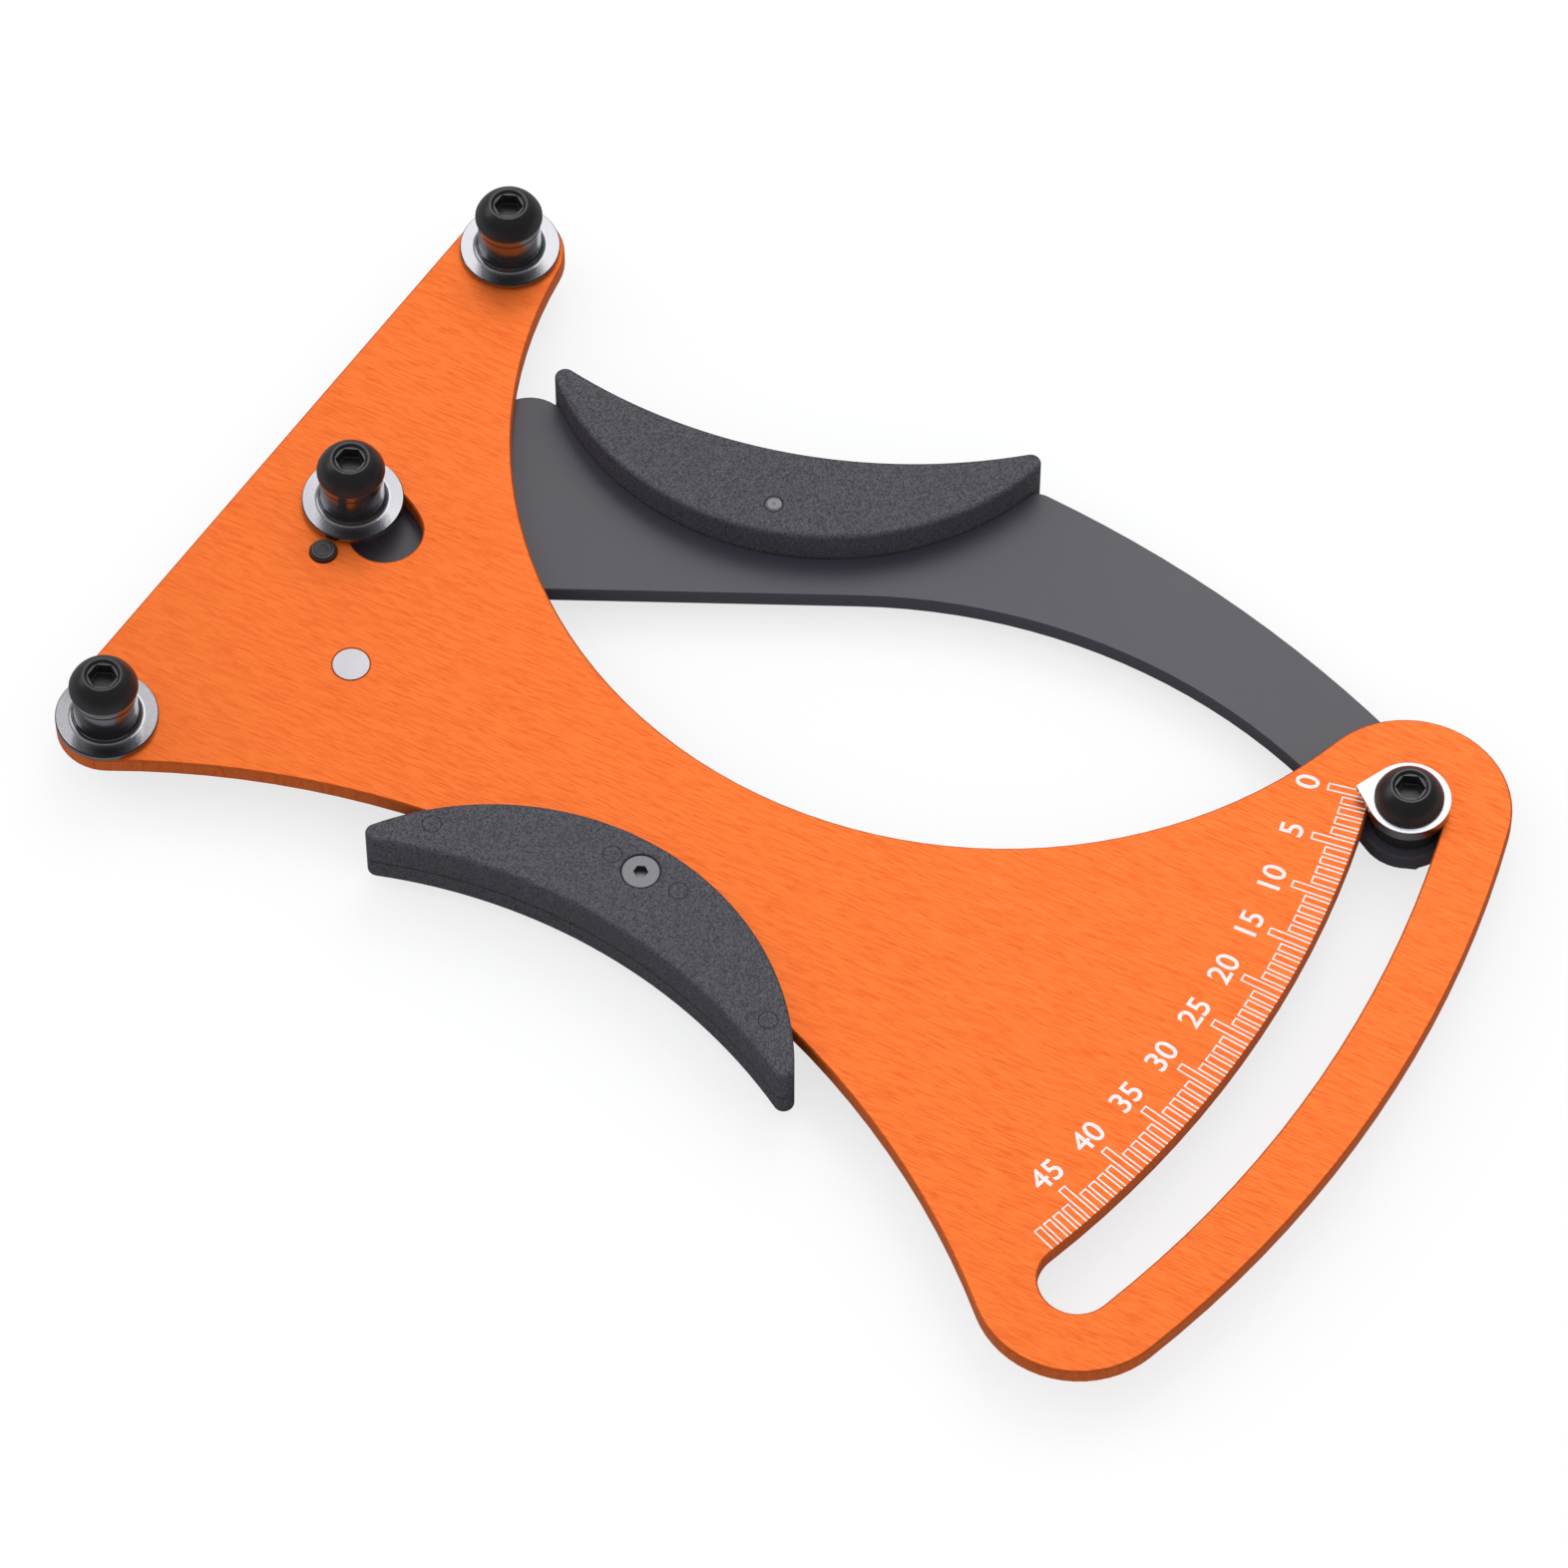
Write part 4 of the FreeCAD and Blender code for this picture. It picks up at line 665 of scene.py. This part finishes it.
# Spring and its two anchors
# A bright rivet is set flush in the plate and a stud is pressed into the arm. The tension spring is
# wound from drawn wire, with a hook at each end that drops over an anchor's groove.
rivet_steel = turned_steel("faced_rivet", "spring_anchor_rivet", (0.64, 0.63, 0.67), 0.30, 0.42)
dress(["spring_anchor_rivet"], rivet_steel)
stud_steel = turned_steel("turned_stud", "arm_spring_stud", (0.70, 0.70, 0.71), 0.2, 0.3)
dress(["arm_spring_stud"], stud_steel)
drawn_wire = patchy_finish("drawn_wire", (0.42, 0.42, 0.43), 0.28,
                           ((0.30, 0.30, 0.31), (0.50, 0.50, 0.51)), shine=(0.2, 0.38))

# The wire's faces are joined at their corners, so that it shades as one round wire.
wire_weld = 0.001 * mm
wound = bmesh.new()
wound.from_mesh(frame["nodes"]["return_spring"].data)
bmesh.ops.remove_doubles(wound, verts=wound.verts, dist=wire_weld)
for face in wound.faces:
    face.smooth = True
spring_mesh = bpy.data.meshes.new("spring_wire")
wound.to_mesh(spring_mesh)
wound.free()
spring_mesh.materials.clear()
spring_mesh.materials.append(drawn_wire)
spring = new_object("spring_wire", spring_mesh)
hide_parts("return_spring")
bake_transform(spring)

# Pointer
# A black plastic spacer runs in the scale slot. On it lie a steel washer and the drop-shaped pointer,
# polished like the sleeves, under a fourth button head screw.
plastic = patchy_finish("running_plastic", (0.018, 0.018, 0.019), 0.3,
                        ((0.012, 0.012, 0.013), (0.026, 0.026, 0.027)), shine=(0.24, 0.38), metallic=0.0)
dress(["slot_spacer"], plastic)
pointer_steel = turned_steel("pointer_steel", "pointer_screw", (0.56, 0.56, 0.59), 0.08, 0.17)
dress(["pointer", "pointer_washer"], pointer_steel)

# Grips
# Each grip is two halves moulded in charcoal plastic with a fine spark-eroded texture, closed over
# the edge of a sheet and held by one countersunk screw in a brass insert.
spark, given, result = shader_group(
    "spark_texture", [("Place", "Vector", None), ("Grit", "Float", 3600.0)],
    [("Height", "Float"), ("Specks", "Float")])
grit = node(spark, "ShaderNodeTexNoise")
grit.inputs["Detail"].default_value = 3.0
grit.inputs["Roughness"].default_value = 0.65
cells = node(spark, "ShaderNodeTexVoronoi")
coarser = node(spark, "ShaderNodeMath", operation="MULTIPLY", in_1=0.62)
both = node(spark, "ShaderNodeMath", operation="ADD")
wire(spark, given.outputs["Grit"], grit.inputs["Scale"])
wire(spark, given.outputs["Grit"], coarser.inputs[0])
wire(spark, coarser.outputs[0], cells.inputs["Scale"])
wire(spark, given.outputs["Place"], grit.inputs["Vector"])
wire(spark, given.outputs["Place"], cells.inputs["Vector"])
wire(spark, grit.outputs[0], both.inputs[0])
wire(spark, cells.outputs["Distance"], both.inputs[1])
wire(spark, both.outputs[0], result.inputs["Height"])
wire(spark, grit.outputs[0], result.inputs["Specks"])

# A thin round line about a place on the front face, as an ejector pin leaves it; about a screw it is painted
# shade in the gap.
round_mark_and_shade, given, result = shader_group(
    "round_line", [("Place", "Vector", None), ("Centre", "Vector", None), ("Radius", "Float", 0.002),
                   ("Width", "Float", 0.0002), ("Lowest", "Float", 0.0)], [("Line", "Float")])
offset = node(round_mark_and_shade, "ShaderNodeVectorMath", operation="SUBTRACT")
flat = node(round_mark_and_shade, "ShaderNodeVectorMath", operation="MULTIPLY")
flat.inputs[1].default_value = (1.0, 1.0, 0.0)
reach = node(round_mark_and_shade, "ShaderNodeVectorMath", operation="LENGTH")
parts_of_place = node(round_mark_and_shade, "ShaderNodeSeparateXYZ")
wire(round_mark_and_shade, given.outputs["Place"], offset.inputs[0])
wire(round_mark_and_shade, given.outputs["Centre"], offset.inputs[1])
wire(round_mark_and_shade, offset.outputs[0], flat.inputs[0])
wire(round_mark_and_shade, flat.outputs[0], reach.inputs[0])
wire(round_mark_and_shade, given.outputs["Place"], parts_of_place.inputs[0])
near_line = sums(round_mark_and_shade, "COMPARE", reach.outputs["Value"], given.outputs["Radius"], given.outputs["Width"])
in_front = sums(round_mark_and_shade, "GREATER_THAN", parts_of_place.outputs[2], given.outputs["Lowest"])
wire(round_mark_and_shade, sums(round_mark_and_shade, "MULTIPLY", near_line, in_front), result.inputs["Line"])


def moulded_plastic(name, split, front, rings):
    """Grip plastic with its texture, the line where its halves meet, and round lines in front: ejector marks
    and painted shade about a screw.
    """
    seam_half = 0.08 * mm
    front_band = 0.4 * mm
    corner_roll = 0.9 * mm
    material, tree, shader, here = new_finish(name, (0.06, 0.058, 0.066), 0.55)
    texture = use_group(tree, spark)
    wire(tree, here, texture.inputs["Place"])
    speck_share = spread(tree, texture.outputs["Specks"], 0.0, 1.0, start=0.35, end=0.66)
    specked = blend_colours(tree, speck_share, (0.024, 0.023, 0.030), (0.108, 0.104, 0.124))
    height = node(tree, "ShaderNodeSeparateXYZ")
    wire(tree, here, height.inputs[0])
    lines = sums(tree, "COMPARE", height.outputs[2], split, seam_half)
    # The seam and the ejector lines are real dark lines; the rings about screws are painted shade.
    for centre, radius, width in rings:
        ring_mark_and_shade = use_group(tree, round_mark_and_shade, Centre=centre, Radius=radius, Width=width,
                              Lowest=front - front_band)
        wire(tree, here, ring_mark_and_shade.inputs["Place"])
        lines = sums(tree, "MAXIMUM", lines, ring_mark_and_shade.outputs["Line"])
    blend_colours(tree, lines, specked, (0.016, 0.015, 0.019), shader.inputs["Base Color"])
    spread(tree, texture.outputs["Specks"], 0.66, 0.46, shader.inputs["Roughness"], start=0.35, end=0.65)
    rolled = node(tree, "ShaderNodeBevel", samples=8)
    rolled.inputs["Radius"].default_value = corner_roll
    depth = sums(tree, "SUBTRACT", texture.outputs["Height"], lines)
    relief = bump(tree, depth, 0.5, 0.06 * mm, shader)
    wire(tree, rolled.outputs[0], relief.inputs["Normal"])
    return material


low_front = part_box("lower_grip_front")
low_screw = middle_of("lower_grip_screw")
ejectors = ((47.0, -42.7), (72.4, -31.95), (84.2, -31.8), (107.9, -43.0))
pin_radius = 1.45 * mm
marks_and_shade_rings = [(Vector((x, y, 0)) * mm, pin_radius, 0.09 * mm) for x, y in ejectors]
# The ring about the countersunk screw is painted shade in its gap.
screw_hole_radius = 2.95 * mm
marks_and_shade_rings.append((low_screw, screw_hole_radius, 0.14 * mm))
low_plastic = moulded_plastic("moulded_charcoal_low", low_front[0].z, low_front[1].z, marks_and_shade_rings)
dress(["lower_grip_front", "lower_grip_rear"], low_plastic)
high_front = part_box("upper_grip_front")
high_screw = middle_of("upper_grip_screw")
# The ring about the screw's end is painted shade in its gap.
screw_end_radius = 1.45 * mm
marks_and_shade_rings = [(high_screw, screw_end_radius, 0.12 * mm)]
high_plastic = moulded_plastic("moulded_charcoal_high", high_front[0].z, high_front[1].z, marks_and_shade_rings)
dress(["upper_grip_front", "upper_grip_rear"], high_plastic)

satin = patchy_finish("dark_steel", (0.24, 0.24, 0.26), 0.38,
                      ((0.20, 0.20, 0.215), (0.29, 0.29, 0.31)), shine=(0.32, 0.48))
dress(["lower_grip_screw", "upper_grip_screw"], satin)

# The upper screw comes from the back, and its end with the mark of the lathe's centre lies in front.
screw_face = Vector((high_screw.x, high_screw.y, high_front[1].z))
end_section = [(0, 0.02), (0.18, 0.02), (0.3, 0.07), (0.95, 0.07), (1.22, 0), (0, 0)]
screw_end = turned_piece("upper_grip_screw_end", screw_face, end_section, satin)
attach(screw_end, "arm_side")

brass = patchy_finish("turned_brass", (0.72, 0.50, 0.21), 0.3, ((0.62, 0.42, 0.16), (0.78, 0.56, 0.26)))
dress(["lower_grip_insert", "upper_grip_insert"], brass)
